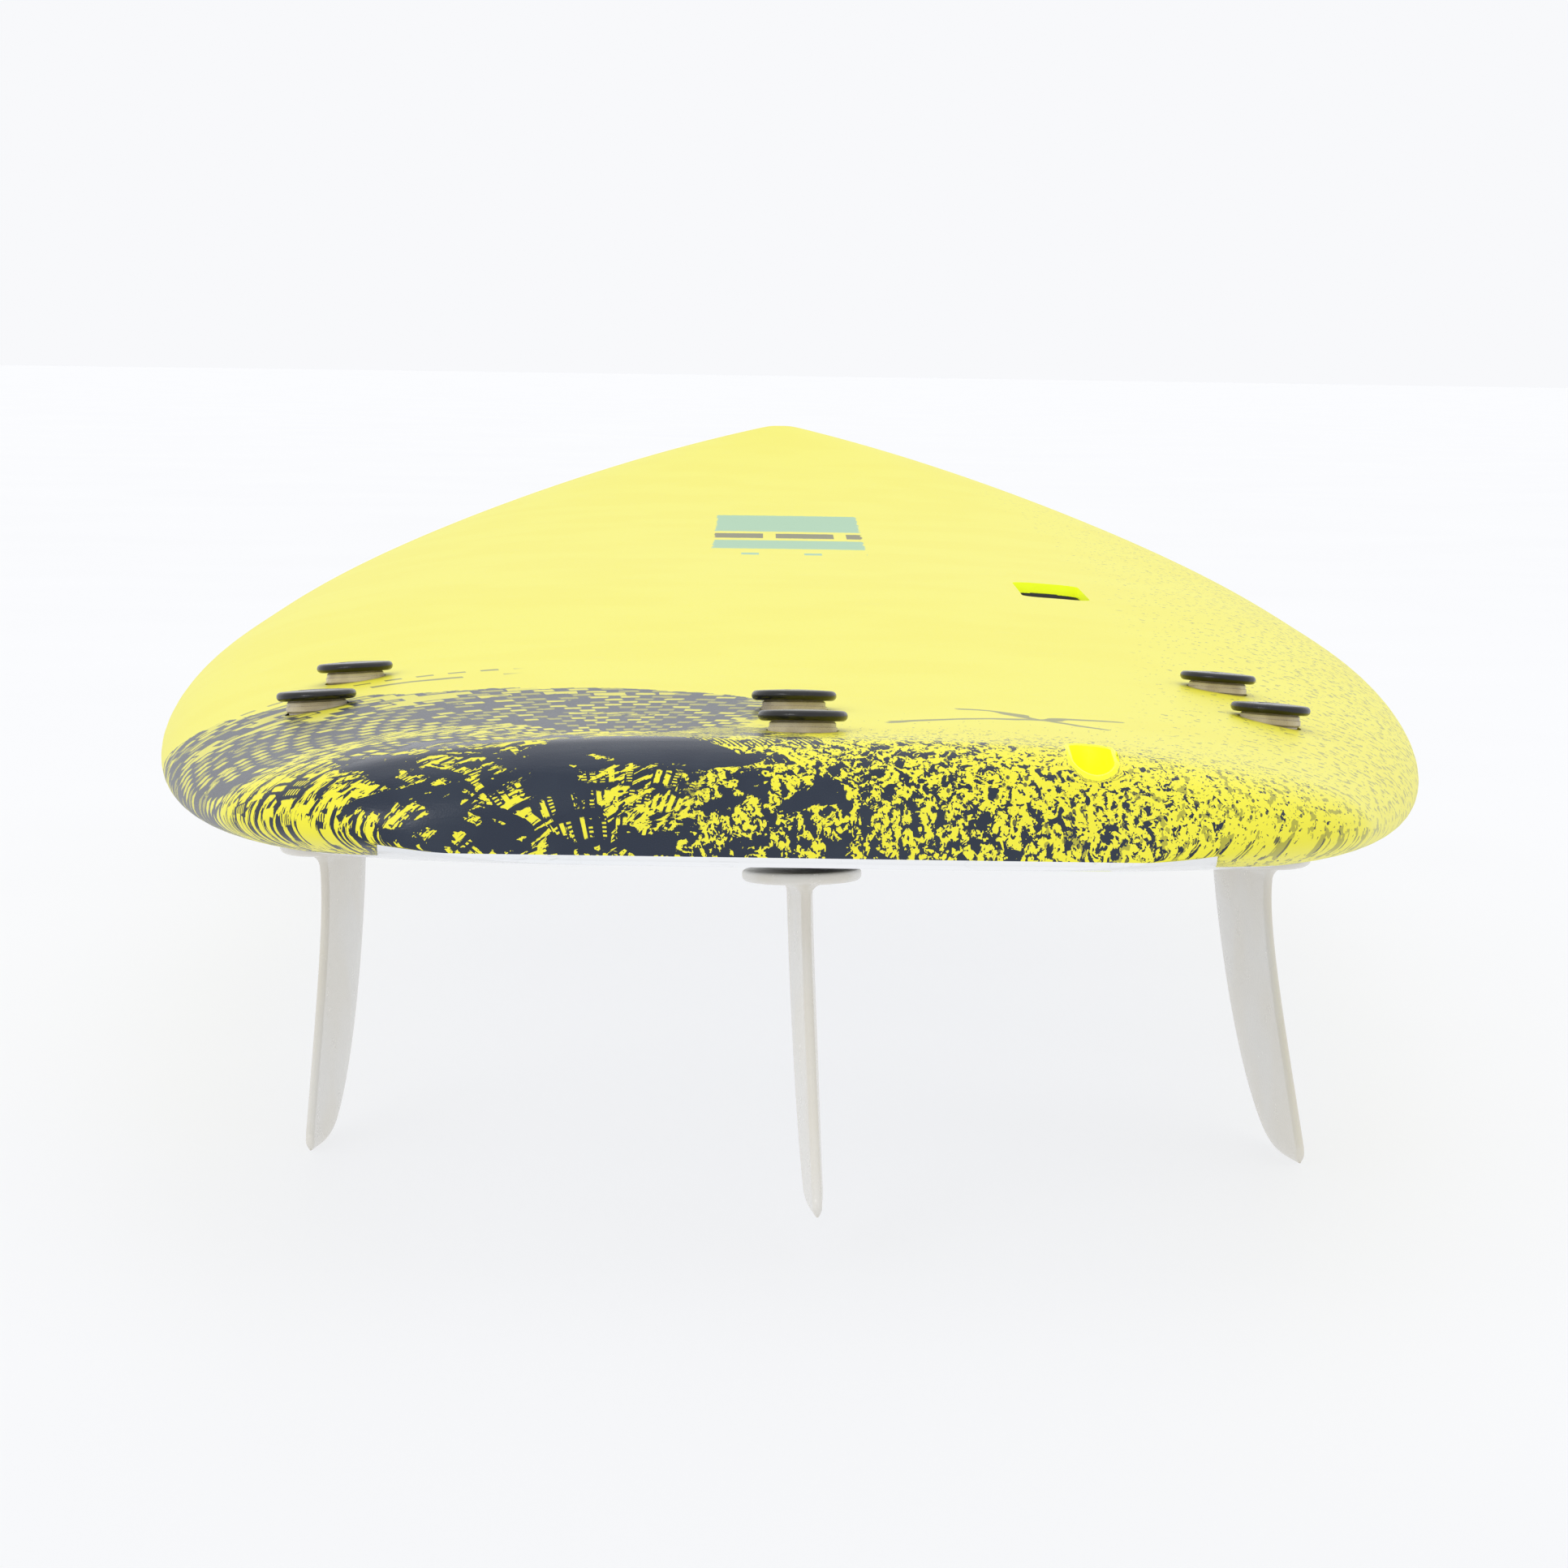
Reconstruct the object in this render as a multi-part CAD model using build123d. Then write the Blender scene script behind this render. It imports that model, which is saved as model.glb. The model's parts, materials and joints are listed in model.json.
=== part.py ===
from build123d import *
import math
import os

# Soft-top surfboard, 6'0" x 21 1/2" x 3", with three bolt-through fins.
# Millimetres.  +Z is up on the deck side, +Y runs from the tail to the nose and +X is to the
# right as seen from the tail.  Shapes are drawn with the tail end at Y = 0 and the flat of the
# bottom at Z = 0, then shifted so that the origin is under the middle, level with the fin tips.

# ---- board outline ----
LENGTH = 1830.0
WIDTH = 546.0
WIDE_POINT = 0.50           # widest place, as a fraction of the length from the tail
TAIL_NARROWING = 0.39       # how much of the half width is lost at the tail end
TAIL_POWER = 2.38
NOSE_POWER = 2.47
NOSE_FULLNESS = 0.67
TAIL_CORNER = 60.0          # corner radius of the squash tail in plan

# ---- rocker and thickness ----
NOSE_ROCKER, NOSE_ROCKER_POWER = 100.0, 3.06
TAIL_ROCKER, TAIL_ROCKER_POWER = 30.0, 2.87
ROCKER_LOW = 0.38           # lowest place of the bottom curve, as a fraction of the length
THICKNESS = 78.0
TAIL_THICKNESS, TAIL_FOIL = 38.0, 2.2
NOSE_THICKNESS, NOSE_FOIL = 28.5, 2.6
TAIL_ROUND, NOSE_ROUND = 24.0, 12.0     # rounding of the deck down to the two ends
NOSE_TRIM, NOSE_CUT = 0.6, 1.0          # flat left at the nose's point, outside and on the core

# ---- rail section ----
RAIL_APEX = 0.34            # height of the rail's widest line, as a fraction of the thickness
DECK_POWERS = (2.98, 1.9)
BOTTOM_POWERS = (6.0, 2.2)
RAIL_STEPS = (0.35, 0.6, 0.78, 0.89, 0.955, 0.988, 0.998)
CROWN_STEPS = (0.995, 0.975, 0.93, 0.85, 0.72, 0.55, 0.3)

# ---- layers ----
DECK_FOAM = 5.0
BOTTOM_SHEET = 1.5
SHEET_INSET = 28.0          # bottom sheet's edge, in from the board's outline
TAIL_SHEET, TAIL_LIP = 127.0, 1.2       # half width and height of its edge on the tail's end
TAIL_SHEET_FLARE = (0.5, 15.0)          # how its edge begins to widen, and how far along
CUT_PAST = 10.0             # how far cutting blocks reach past the board
STRINGER_X, STRINGER_WIDTH, STRINGER_NOSE = 70.0, 3.0, 60.0

# ---- carry handle pocket and leash slot ----
HANDLE_PLACE = (122.0, 730.0)
HANDLE_SIZE, HANDLE_CORNER = (31.0, 97.0), 9.0
HANDLE_DEPTH, HANDLE_WALL = 36.0, 2.5
LEASH_PLACE = (90.0, 23.0)
LEASH_SIZE, LEASH_WALL = (13.0, 29.0), 1.6

# ---- fin screws, measured on the deck ----
BOLT_SPACING = 89.0
CENTRE_REAR = (1.5, 57.7)
SIDE_REAR = (169.4, 241.1)
TOE_IN, FIN_YAW = 5.0, 1.4      # side fins toward the middle; all three, nose end to the left
SCREW_CANT = 4.0            # side screws close in downward, square to the deck as it falls away
BLADE_LEAN = 1.9            # all three blades, tips to the right

# ---- fins ----
FIN_DEPTH = 105.0
FIN_CHORD = 102.0
FIN_SWEEP, FIN_SWEEP_POWERS = 115.0, (1.3, 0.46)        # front edge, from the base to the tip
FIN_RAKE, FIN_HOLLOW, FIN_HOLLOW_POWER = 32.0, 22.0, 0.5        # back edge: swept, bowed forward
FIN_THICKNESS, FIN_EDGE = 8.2, 3.0
FIN_TIP_THICKNESS, FIN_TIP_START = 5.8, 0.94
TIP_CLOSING, TIP_BACK = 0.85, 0.3        # how nearly the tip closes, and its back edge's share
FIN_BLUNT = 0.6             # most that the blunt back edge takes of the thickness
FLANGE = (128.0, 38.5)
FLANGE_THICKNESS, FLANGE_ROOT = 3.6, 1.8
CENTRE_DROP, SIDE_DROP = 1.6, 2.6       # flange's top below the bottom sheet at a fin's middle
POST_RADIUS = 8.0

# ---- sleeves, collars and screws: heights along a screw's axis, from the deck ----
SLEEVE_RADIUS, SLEEVE_BORE = 10.0, 8.2
SLEEVE_LIP = 3.3            # how far a sleeve's end stands above the foam core
SLEEVE_FOOT = 1.8           # a sleeve's lower end above the fin's flange
COLLAR_RADIUS, COLLAR_BORE = 11.0, 5.2
COLLAR_HOLE = 11.5
HEAD_RISE = 2.6             # underside of a screw head above the deck
HEAD_RADIUS, HEAD_HEIGHT, HEAD_CROWN = 14.2, 3.8, 0.5
HEAD_ROUND = 1.5            # rounding of a head's rim, above and below
SLOT_SIZE = (22.0, 2.6, 1.6)
SHANK_RADIUS, THREAD_BORE = 4.92, 5.0
SHANK_REACH = 30.0          # shank below the sleeve's end
SEAT_GAP = 0.05
BORE_PAST = 3.0             # bore below the shank's end
POST_GAP = 0.5              # a post's end below its sleeve's end
STRINGER_GAP = 0.25         # between a stringer's edges and the two skins


def end_round(distance, radius):
    """Drop of a quarter-round edge at a distance in from its end."""
    if distance >= radius:
        return 0.0
    return radius * (1 - math.sqrt(1 - ((radius - distance) / radius) ** 2))


def half_width(y):
    u = y / LENGTH
    if u > WIDE_POINT:
        s = (u - WIDE_POINT) / (1 - WIDE_POINT)
        return WIDTH / 2 * (1 - s ** NOSE_POWER) ** NOSE_FULLNESS
    q = (WIDE_POINT - u) / WIDE_POINT
    return WIDTH / 2 * (1 - TAIL_NARROWING * q ** TAIL_POWER) - end_round(y, TAIL_CORNER)


def bottom_z(y):
    u = y / LENGTH
    if u > ROCKER_LOW:
        return NOSE_ROCKER * ((u - ROCKER_LOW) / (1 - ROCKER_LOW)) ** NOSE_ROCKER_POWER
    return TAIL_ROCKER * ((ROCKER_LOW - u) / ROCKER_LOW) ** TAIL_ROCKER_POWER


def thickness(y):
    u = y / LENGTH
    if u > 0.5:
        full = THICKNESS - (THICKNESS - NOSE_THICKNESS) * (2 * u - 1) ** NOSE_FOIL
    else:
        full = THICKNESS - (THICKNESS - TAIL_THICKNESS) * (1 - 2 * u) ** TAIL_FOIL
    return full - end_round(y, TAIL_ROUND) - end_round(LENGTH - y, NOSE_ROUND)


def deck_height(x, y, side=0.0, sheet=0.0, skins=0.0):
    """Height of the deck surface over a place in plan, or of the core's under its skins."""
    t = thickness(y) - skins
    a = RAIL_APEX * t
    across, up = DECK_POWERS
    r = min(abs(x) / (half_width(y) - side), 1.0)
    return bottom_z(y) + sheet + a + (t - a) * (1 - r ** across) ** (1 / up)


def sheet_height(x, y, side=0.0, sheet=0.0, skins=0.0):
    """Height of the bottom surface over a place in plan, or of the core's over its sheet."""
    a = RAIL_APEX * (thickness(y) - skins)
    across, up = BOTTOM_POWERS
    r = min(abs(x) / (half_width(y) - side), 1.0)
    return bottom_z(y) + sheet + a - a * (1 - r ** across) ** (1 / up)


def stations(first, last):
    """Places along the board where its section is drawn, closer together at both ends."""
    tail = [first + TAIL_CORNER * (1 - math.cos(math.radians(a))) for a in range(0, 91, 15)]
    middle = [95, 150, 230, 340, 480, 640, 800, 960, 1120, 1270, 1400, 1510, 1600, 1670]
    nose = [last - reach for reach in (115, 78, 50, 29, 14, 5.5, 1.6, 0.0)]
    return tail + middle + nose


def section(y, inner):
    """One closed section of the board, or of the core inside its skins."""
    side, low, skins = (DECK_FOAM, BOTTOM_SHEET, DECK_FOAM + BOTTOM_SHEET) if inner else (0, 0, 0)
    w = half_width(y) - side
    t = thickness(y) - skins
    a = RAIL_APEX * t
    base = bottom_z(y) + low
    across, up = BOTTOM_POWERS
    below = [(r, a - a * (1 - r ** across) ** (1 / up)) for r in (0.0,) + RAIL_STEPS]
    across, up = DECK_POWERS
    above = [(r, a + (t - a) * (1 - r ** across) ** (1 / up)) for r in CROWN_STEPS + (0.0,)]
    half = below + [(1.0, a)] + above
    loop = half + [(-r, z) for r, z in half[-2:0:-1]]
    return [Vector(r * w, y, base + z) for r, z in loop]


def hull(first, last, inner):
    """Solid lofted through the board's sections."""
    middle = section(LENGTH / 2, inner)
    knots = [0.0]
    for here, there in zip(middle, middle[1:] + middle[:1]):
        knots.append(knots[-1] + (there - here).length)
    rings = []
    for y in stations(first, last):
        points = section(y, inner)
        rings.append(Wire([Edge.make_spline(points, periodic=True, parameters=knots)]))
    return Solid.make_loft(rings)


def bottom_cutter():
    """Block whose upright walls cut the bottom sheet's outline, below the board's middle."""
    places = [60, 130, 260, 420, 620, 850, 1080, 1280, 1440, 1570, 1670, 1740, LENGTH - 30]
    right = [(TAIL_SHEET, -CUT_PAST / 2), (TAIL_SHEET + TAIL_SHEET_FLARE[0], TAIL_SHEET_FLARE[1])]
    right += [(half_width(y) - SHEET_INSET, y) for y in places]
    left = [(-x, y) for x, y in reversed(right)]
    outline = Wire([
        Spline(*right).edge(), Line(right[-1], left[0]).edge(),
        Spline(*left).edge(), Line(left[-1], right[0]).edge(),
    ])
    prism = extrude(Face(outline), amount=2 * NOSE_ROCKER)
    prism = Pos(0, 0, -NOSE_ROCKER / 2) * prism
    along = [LENGTH * k / 12 for k in range(1, 12)]
    ridge = [(-WIDTH, y, bottom_z(y) + thickness(y) / 2) for y in along]
    ridge = [(-WIDTH, y, bottom_z(0) + TAIL_LIP) for y in (-CUT_PAST, CUT_PAST / 5)] + ridge
    ridge.append((-WIDTH, LENGTH + CUT_PAST, bottom_z(LENGTH) + CUT_PAST))
    floor = [(-WIDTH, LENGTH + CUT_PAST, -WIDTH), (-WIDTH, -CUT_PAST, -WIDTH)]
    profile = Wire([
        Spline(*ridge).edge(), Line(ridge[-1], floor[0]).edge(),
        Line(floor[0], floor[1]).edge(), Line(floor[1], ridge[0]).edge(),
    ])
    block = extrude(Face(profile), amount=2 * WIDTH, dir=(1, 0, 0))
    return prism & block


def upright_slot(place, size, corner, low, high):
    """Rounded upright block, for a pocket or a hole through the board."""
    outline = Pos(place[0], place[1], low) * RectangleRounded(size[0], size[1], corner)
    return extrude(outline, amount=high - low)


def slab(x_low, x_high):
    """Block between two planes along the board, higher and longer than the board."""
    box = Box(x_high - x_low, 2 * LENGTH, 6 * THICKNESS)
    return Pos((x_low + x_high) / 2, LENGTH / 2, 0) * box


def stringer():
    """Strip between the skins, left of the middle, with its edges a little clear of both."""
    x = STRINGER_X + STRINGER_WIDTH / 2
    core = (DECK_FOAM, BOTTOM_SHEET, DECK_FOAM + BOTTOM_SHEET)
    first, last = DECK_FOAM + STRINGER_GAP, LENGTH - STRINGER_NOSE
    places = [first + TAIL_ROUND * (1 - math.cos(math.radians(a))) for a in range(0, 91, 15)]
    places += [first + TAIL_ROUND + (last - first - TAIL_ROUND) * k / 22 for k in range(1, 23)]
    top = [(-x, y, deck_height(x, y, *core) - STRINGER_GAP) for y in places]
    foot = [(-x, y, sheet_height(x, y, *core) + STRINGER_GAP) for y in reversed(places)]
    outline = Wire([
        Spline(*top).edge(), Line(top[-1], foot[0]).edge(),
        Spline(*foot).edge(), Line(foot[-1], top[0]).edge(),
    ])
    return extrude(Face(outline), amount=STRINGER_WIDTH, dir=(1, 0, 0))


def fin_line(side):
    """Place in plan of a fin's rear screw, and the direction along the bottom to its front one."""
    rear = Vector(SIDE_REAR[0] * side, SIDE_REAR[1]) if side else Vector(*CENTRE_REAR)
    turn = math.radians(TOE_IN * side + FIN_YAW)
    front = rear + Vector(-math.sin(turn), math.cos(turn)) * BOLT_SPACING
    rise = bottom_z(front.Y) - bottom_z(rear.Y)
    return rear, (front - rear + Vector(0, 0, rise)).normalized()


def leaning_plane(point, forward, lean):
    """Plane with X along a fin and Z up, its foot swung to the right by an angle."""
    upright = Vector(-math.sin(math.radians(lean)), 0, math.cos(math.radians(lean)))
    return Plane(origin=point, x_dir=forward, z_dir=upright - forward * upright.dot(forward))


def screw_plane(side, end):
    """Plane on the deck at a screw: Z up the screw, X along its fin."""
    rear, forward = fin_line(side)
    point = rear + forward * (BOLT_SPACING if end == "front" else 0.0)
    on_deck = Vector(point.X, point.Y, deck_height(point.X, point.Y))
    return leaning_plane(on_deck, forward, -SCREW_CANT * side)


def blade_plane(side):
    """Plane on a fin's flange: X along the fin to the nose, Z up from the blade."""
    rear, front = (screw_plane(side, end) for end in ("rear", "front"))
    up = leaning_plane(rear.origin, rear.x_dir, BLADE_LEAN).z_dir
    point = (rear.origin + front.origin) / 2
    for _ in range(6):
        point = point - up * ((point.Z - sheet_height(point.X, point.Y)) / up.Z)
    point = point - up * (SIDE_DROP if side else CENTRE_DROP)
    return leaning_plane(point, rear.x_dir, BLADE_LEAN)


def height_over(plane, axis):
    """Distance down a screw's axis from the deck to a fin's flange."""
    return (axis.origin - plane.origin).dot(plane.z_dir) / axis.z_dir.dot(plane.z_dir)


def foil(chord, front, thick, depth):
    """Fin section at a depth: a rounded front, its thickest place at a third, a blunt back."""
    steps = (0.012, 0.05, 0.13, 0.3, 0.5, 0.75, 1.0)
    edge = min(FIN_EDGE, FIN_BLUNT * thick)
    upper = []
    for s in steps:
        curve = 0.2969 * math.sqrt(s) - 0.126 * s - 0.3516 * s ** 2
        curve += 0.2843 * s ** 3 - 0.1015 * s ** 4
        upper.append((s, 5 * curve * (thick - edge * s) + edge * s / 2))
    rim = [(s, half) for s, half in reversed(upper)] + [(0.0, 0.0)]
    rim += [(s, -half) for s, half in upper]
    points = [Vector(front - s * chord, half, -depth) for s, half in rim]
    return Wire([Edge.make_spline(points), Edge.make_line(points[-1], points[0])])


def fin_blade():
    """Raked blade, from inside its flange to a small rounded tip."""
    rings = []
    for part in (0.0, 0.05, 0.14, 0.27, 0.42, 0.57, 0.7, 0.81, 0.89, 0.94, 0.975, 0.993, 1.0):
        depth = FLANGE_ROOT + part * (FIN_DEPTH - FLANGE_ROOT)
        bend, fall = FIN_SWEEP_POWERS
        front = FIN_CHORD / 2 - FIN_SWEEP * (1 - (1 - part ** bend) ** fall)
        back = -FIN_CHORD / 2 - FIN_RAKE * part
        back += FIN_HOLLOW * math.sin(math.pi * part ** FIN_HOLLOW_POWER)
        thick = FIN_TIP_THICKNESS + (FIN_THICKNESS - FIN_TIP_THICKNESS) * (1 - part ** 3)
        into_tip = max(part - FIN_TIP_START, 0.0) / (1 - FIN_TIP_START)
        left = math.sqrt(1 - TIP_CLOSING * into_tip ** 2)
        back += (front - back) * (1 - left) * TIP_BACK
        rings.append(foil(front - back, front, thick * left, depth))
    return Solid.make_loft(rings)


def fin(plane, axes):
    """Fin with its oval flange and two threaded posts that follow the screws."""
    oval = Ellipse(FLANGE[0] / 2, FLANGE[1] / 2)
    body = plane.location * (extrude(oval, amount=-FLANGE_THICKNESS) + fin_blade())
    top = SLEEVE_LIP - DECK_FOAM - POST_GAP
    for axis in axes:
        foot = -height_over(plane, axis) - FLANGE_ROOT
        post = axis.location * tube(POST_RADIUS, 0, foot, top)
        bore = axis.location * tube(THREAD_BORE, 0, top - SHANK_REACH - BORE_PAST, top + BORE_PAST)
        body = body + post - bore
    return body


def tube(outer, bore, low, high):
    """Upright round tube between two heights."""
    base = (Align.CENTER, Align.CENTER, Align.MIN)
    wall = Cylinder(outer, high - low, align=base)
    if bore:
        wall = wall - Cylinder(bore, high - low, align=base)
    return Pos(0, 0, low) * wall


def fin_screw(low, seat):
    """Coin-slot screw: a low crowned head with a round rim on a plain shank."""
    wall = HEAD_HEIGHT - HEAD_CROWN
    dome = (HEAD_RADIUS ** 2 + HEAD_CROWN ** 2) / 2 / HEAD_CROWN
    head = tube(HEAD_RADIUS, 0, seat, seat + HEAD_HEIGHT)
    head = head & Pos(0, 0, seat + wall + HEAD_CROWN - dome) * Sphere(dome)
    rims = head.edges().filter_by(GeomType.CIRCLE).sort_by(Axis.Z)
    head = fillet([rims[0], rims[-1]], HEAD_ROUND)
    slot = Pos(0, 0, seat + HEAD_HEIGHT) * Box(SLOT_SIZE[0], SLOT_SIZE[1], 2 * SLOT_SIZE[2])
    return head - slot + tube(SHANK_RADIUS, 0, low, seat + HEAD_ROUND)


# ---- board ----
outer = hull(0.0, LENGTH - NOSE_TRIM, False)
inner = hull(DECK_FOAM, LENGTH - DECK_FOAM - NOSE_CUT, True)
cutter = bottom_cutter()
shell = outer - inner
bottom_skin = shell & cutter
deck_skin = shell - cutter

edge_x = STRINGER_X + STRINGER_WIDTH / 2
inside_x = STRINGER_X - STRINGER_WIDTH / 2
core_left = inner & slab(-WIDTH, -edge_x)
core_right = inner & slab(edge_x, WIDTH)
core_centre = inner & slab(-inside_x, inside_x)
strip = stringer()
parts = {"stringer_left": strip, "stringer_right": mirror(strip, about=Plane.YZ)}

# ---- carry handle pocket ----
pocket_floor = deck_height(*HANDLE_PLACE) - HANDLE_DEPTH
opening = upright_slot(HANDLE_PLACE, HANDLE_SIZE, HANDLE_CORNER, pocket_floor, 2 * THICKNESS)
wide = (HANDLE_SIZE[0] + 2 * HANDLE_WALL, HANDLE_SIZE[1] + 2 * HANDLE_WALL)
pocket = upright_slot(HANDLE_PLACE, wide, HANDLE_CORNER + HANDLE_WALL,
                      pocket_floor - HANDLE_WALL, 2 * THICKNESS)
parts["handle_cup"] = (inner & pocket) - opening
core_right = core_right - pocket
deck_skin = deck_skin - opening

# ---- leash slot ----
leash_wide = (LEASH_SIZE[0] + 2 * LEASH_WALL, LEASH_SIZE[1] + 2 * LEASH_WALL)
leash_hole = upright_slot(LEASH_PLACE, LEASH_SIZE, LEASH_SIZE[0] / 2 - 0.01,
                          -THICKNESS, 2 * THICKNESS)
leash_bore = upright_slot(LEASH_PLACE, leash_wide, leash_wide[0] / 2 - 0.01,
                          -THICKNESS, 2 * THICKNESS)
parts["leash_tube"] = (inner & leash_bore) - leash_hole
core_right = core_right - leash_bore
deck_skin = deck_skin - leash_hole
bottom_skin = bottom_skin - leash_hole

# ---- fins and their fasteners ----
sleeve_top = SLEEVE_LIP - DECK_FOAM
for side, name in ((-1, "left"), (0, "centre"), (1, "right")):
    flange = blade_plane(side)
    axes = {end: screw_plane(side, end) for end in ("rear", "front")}
    parts["fin_" + name] = fin(flange, axes.values())
    for end, axis in axes.items():
        place = axis.location
        foot = -height_over(flange, axis) + SLEEVE_FOOT
        parts[f"sleeve_{name}_{end}"] = place * tube(SLEEVE_RADIUS, SLEEVE_BORE, foot, sleeve_top)
        parts[f"collar_{name}_{end}"] = place * tube(
            COLLAR_RADIUS, COLLAR_BORE, sleeve_top + SEAT_GAP, HEAD_RISE - SEAT_GAP)
        parts[f"screw_{name}_{end}"] = place * fin_screw(sleeve_top - SHANK_REACH, HEAD_RISE)
        bore = place * tube(SLEEVE_RADIUS, 0, -2 * THICKNESS, sleeve_top)
        if side < 0:
            core_left = core_left - bore
        elif side > 0:
            core_right = core_right - bore
        else:
            core_centre = core_centre - bore
        bottom_skin = bottom_skin - bore
        deck_skin = deck_skin - place * tube(COLLAR_HOLE, 0, sleeve_top - DECK_FOAM, CUT_PAST)
        seat = axis.from_local_coords(Vector(0, 0, HEAD_RISE))
        print(name, end, "axis", tuple(round(v, 6) for v in axis.z_dir),
              "seat", tuple(round(v, 3) for v in seat))

parts["core_left"] = core_left
parts["core_centre"] = core_centre
parts["core_right"] = core_right
parts["deck_skin"] = deck_skin
parts["bottom_skin"] = bottom_skin

# ---- origin under the middle of the board, level with the lowest fin tip ----
low = min(parts["fin_" + name].bounding_box().min.Z for name in ("left", "centre", "right"))
box = parts["deck_skin"].bounding_box()
shift = Pos(0, -(box.min.Y + box.max.Y) / 2, -low)
print("shift", -(box.min.Y + box.max.Y) / 2, -low)

os.makedirs("parts", exist_ok=True)
for name, shape in parts.items():
    export_step(shift * shape, f"parts/{name}.step")
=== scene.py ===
"""Soft-top surfboard: printed foam deck, slick bottom sheet, three moulded fins and their coin-slot screws."""
import json
import math
import random

import bmesh
import bpy
import numpy as np
from mathutils import Matrix, Vector


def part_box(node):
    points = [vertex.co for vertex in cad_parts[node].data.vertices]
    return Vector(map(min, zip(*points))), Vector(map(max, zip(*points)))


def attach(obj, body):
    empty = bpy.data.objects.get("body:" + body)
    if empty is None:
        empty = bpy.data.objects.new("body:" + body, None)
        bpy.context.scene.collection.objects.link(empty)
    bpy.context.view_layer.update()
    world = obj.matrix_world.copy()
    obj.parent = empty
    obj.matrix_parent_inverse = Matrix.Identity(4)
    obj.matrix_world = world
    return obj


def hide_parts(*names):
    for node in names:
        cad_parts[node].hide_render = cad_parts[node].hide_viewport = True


bl_info = {
    "name": "Soft-top surfboard",
    "version": (1, 0, 0),
    "blender": (4, 5, 0),
    "location": "3D View > Sidebar > Surfboard",
    "description": "Builds a soft-top surfboard's skins, fins, fasteners, inks and studio",
    "category": "Object",
}

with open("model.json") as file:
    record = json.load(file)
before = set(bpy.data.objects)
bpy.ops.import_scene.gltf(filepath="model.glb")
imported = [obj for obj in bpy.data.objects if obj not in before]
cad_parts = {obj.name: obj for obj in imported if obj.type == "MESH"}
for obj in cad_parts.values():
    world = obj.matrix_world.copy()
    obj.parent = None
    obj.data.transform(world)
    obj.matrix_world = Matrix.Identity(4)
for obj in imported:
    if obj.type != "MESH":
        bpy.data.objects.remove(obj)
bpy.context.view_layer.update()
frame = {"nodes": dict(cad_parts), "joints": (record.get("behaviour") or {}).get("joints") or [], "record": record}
DECK_LOW, DECK_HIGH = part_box("deck_skin")
TAIL_Y = DECK_LOW.y
FLAT_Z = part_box("bottom_skin")[0].z
JOINTS = {joint["name"]: joint for joint in frame["joints"]}
SIDES, ENDS = ("left", "centre", "right"), ("rear", "front")


# ---------------------------------------------------------------- sizes and colours
class BoardSizes(bpy.types.PropertyGroup):
    length: bpy.props.FloatProperty(
        name="Length", description="Overall length of the board", unit="LENGTH",
        default=DECK_HIGH.y - DECK_LOW.y + 0.0006)
    width: bpy.props.FloatProperty(
        name="Width", description="Width at the widest place", unit="LENGTH", default=0.546)
    thick: bpy.props.FloatProperty(
        name="Thickness", description="Thickness at the middle", unit="LENGTH", default=0.078)
    foam: bpy.props.FloatProperty(
        name="Deck foam", description="Thickness of the foam skin", unit="LENGTH", default=0.005)
    sheet: bpy.props.FloatProperty(
        name="Bottom sheet", description="Thickness of the slick sheet", unit="LENGTH", default=0.0015)
    stations: bpy.props.IntProperty(
        name="Stations", description="Sections along the board's middle", default=150, min=40)
    around: bpy.props.IntProperty(
        name="Steps across", description="Steps from the deck's middle to one rail", default=44, min=12)


class FinSizes(bpy.types.PropertyGroup):
    depth: bpy.props.FloatProperty(
        name="Depth", description="From the flange's top to the tip", unit="LENGTH", default=0.105)
    chord: bpy.props.FloatProperty(
        name="Base", description="Length of the blade at its root", unit="LENGTH", default=0.102)
    thick: bpy.props.FloatProperty(
        name="Thickness", description="Thickest place of the blade", unit="LENGTH", default=0.0082)
    edge: bpy.props.FloatProperty(
        name="Back edge", description="Thickness of the blunt back edge", unit="LENGTH", default=0.003)
    fillet: bpy.props.FloatProperty(
        name="Root fillet", description="Radius where the blade meets its flange", unit="LENGTH",
        default=0.0045)


class FastenerSizes(bpy.types.PropertyGroup):
    head_radius: bpy.props.FloatProperty(
        name="Head radius", description="Radius of a screw's head", unit="LENGTH", default=0.0142)
    head_height: bpy.props.FloatProperty(
        name="Head height", description="Height of a screw's head", unit="LENGTH", default=0.0038)
    slot_width: bpy.props.FloatProperty(
        name="Slot width", description="Width of the coin slot", unit="LENGTH", default=0.0026)
    turn_spread: bpy.props.FloatProperty(
        name="Slot turn", description="How far the slots differ in direction", subtype="ANGLE",
        default=math.radians(150))


class InkColours(bpy.types.PropertyGroup):
    foam: bpy.props.FloatVectorProperty(
        name="Foam", description="Colour of the deck foam", subtype="COLOR", size=3,
        default=(0.90, 0.845, 0.045))
    ink: bpy.props.FloatVectorProperty(
        name="Ink", description="Colour of the dark print", subtype="COLOR", size=3,
        default=(0.010, 0.019, 0.040))
    label: bpy.props.FloatVectorProperty(
        name="Label", description="Colour of the label's bands", subtype="COLOR", size=3,
        default=(0.16, 0.50, 0.44))
    fin: bpy.props.FloatVectorProperty(
        name="Fins", description="Colour of the moulded fins", subtype="COLOR", size=3,
        default=(0.74, 0.72, 0.67))


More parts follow.
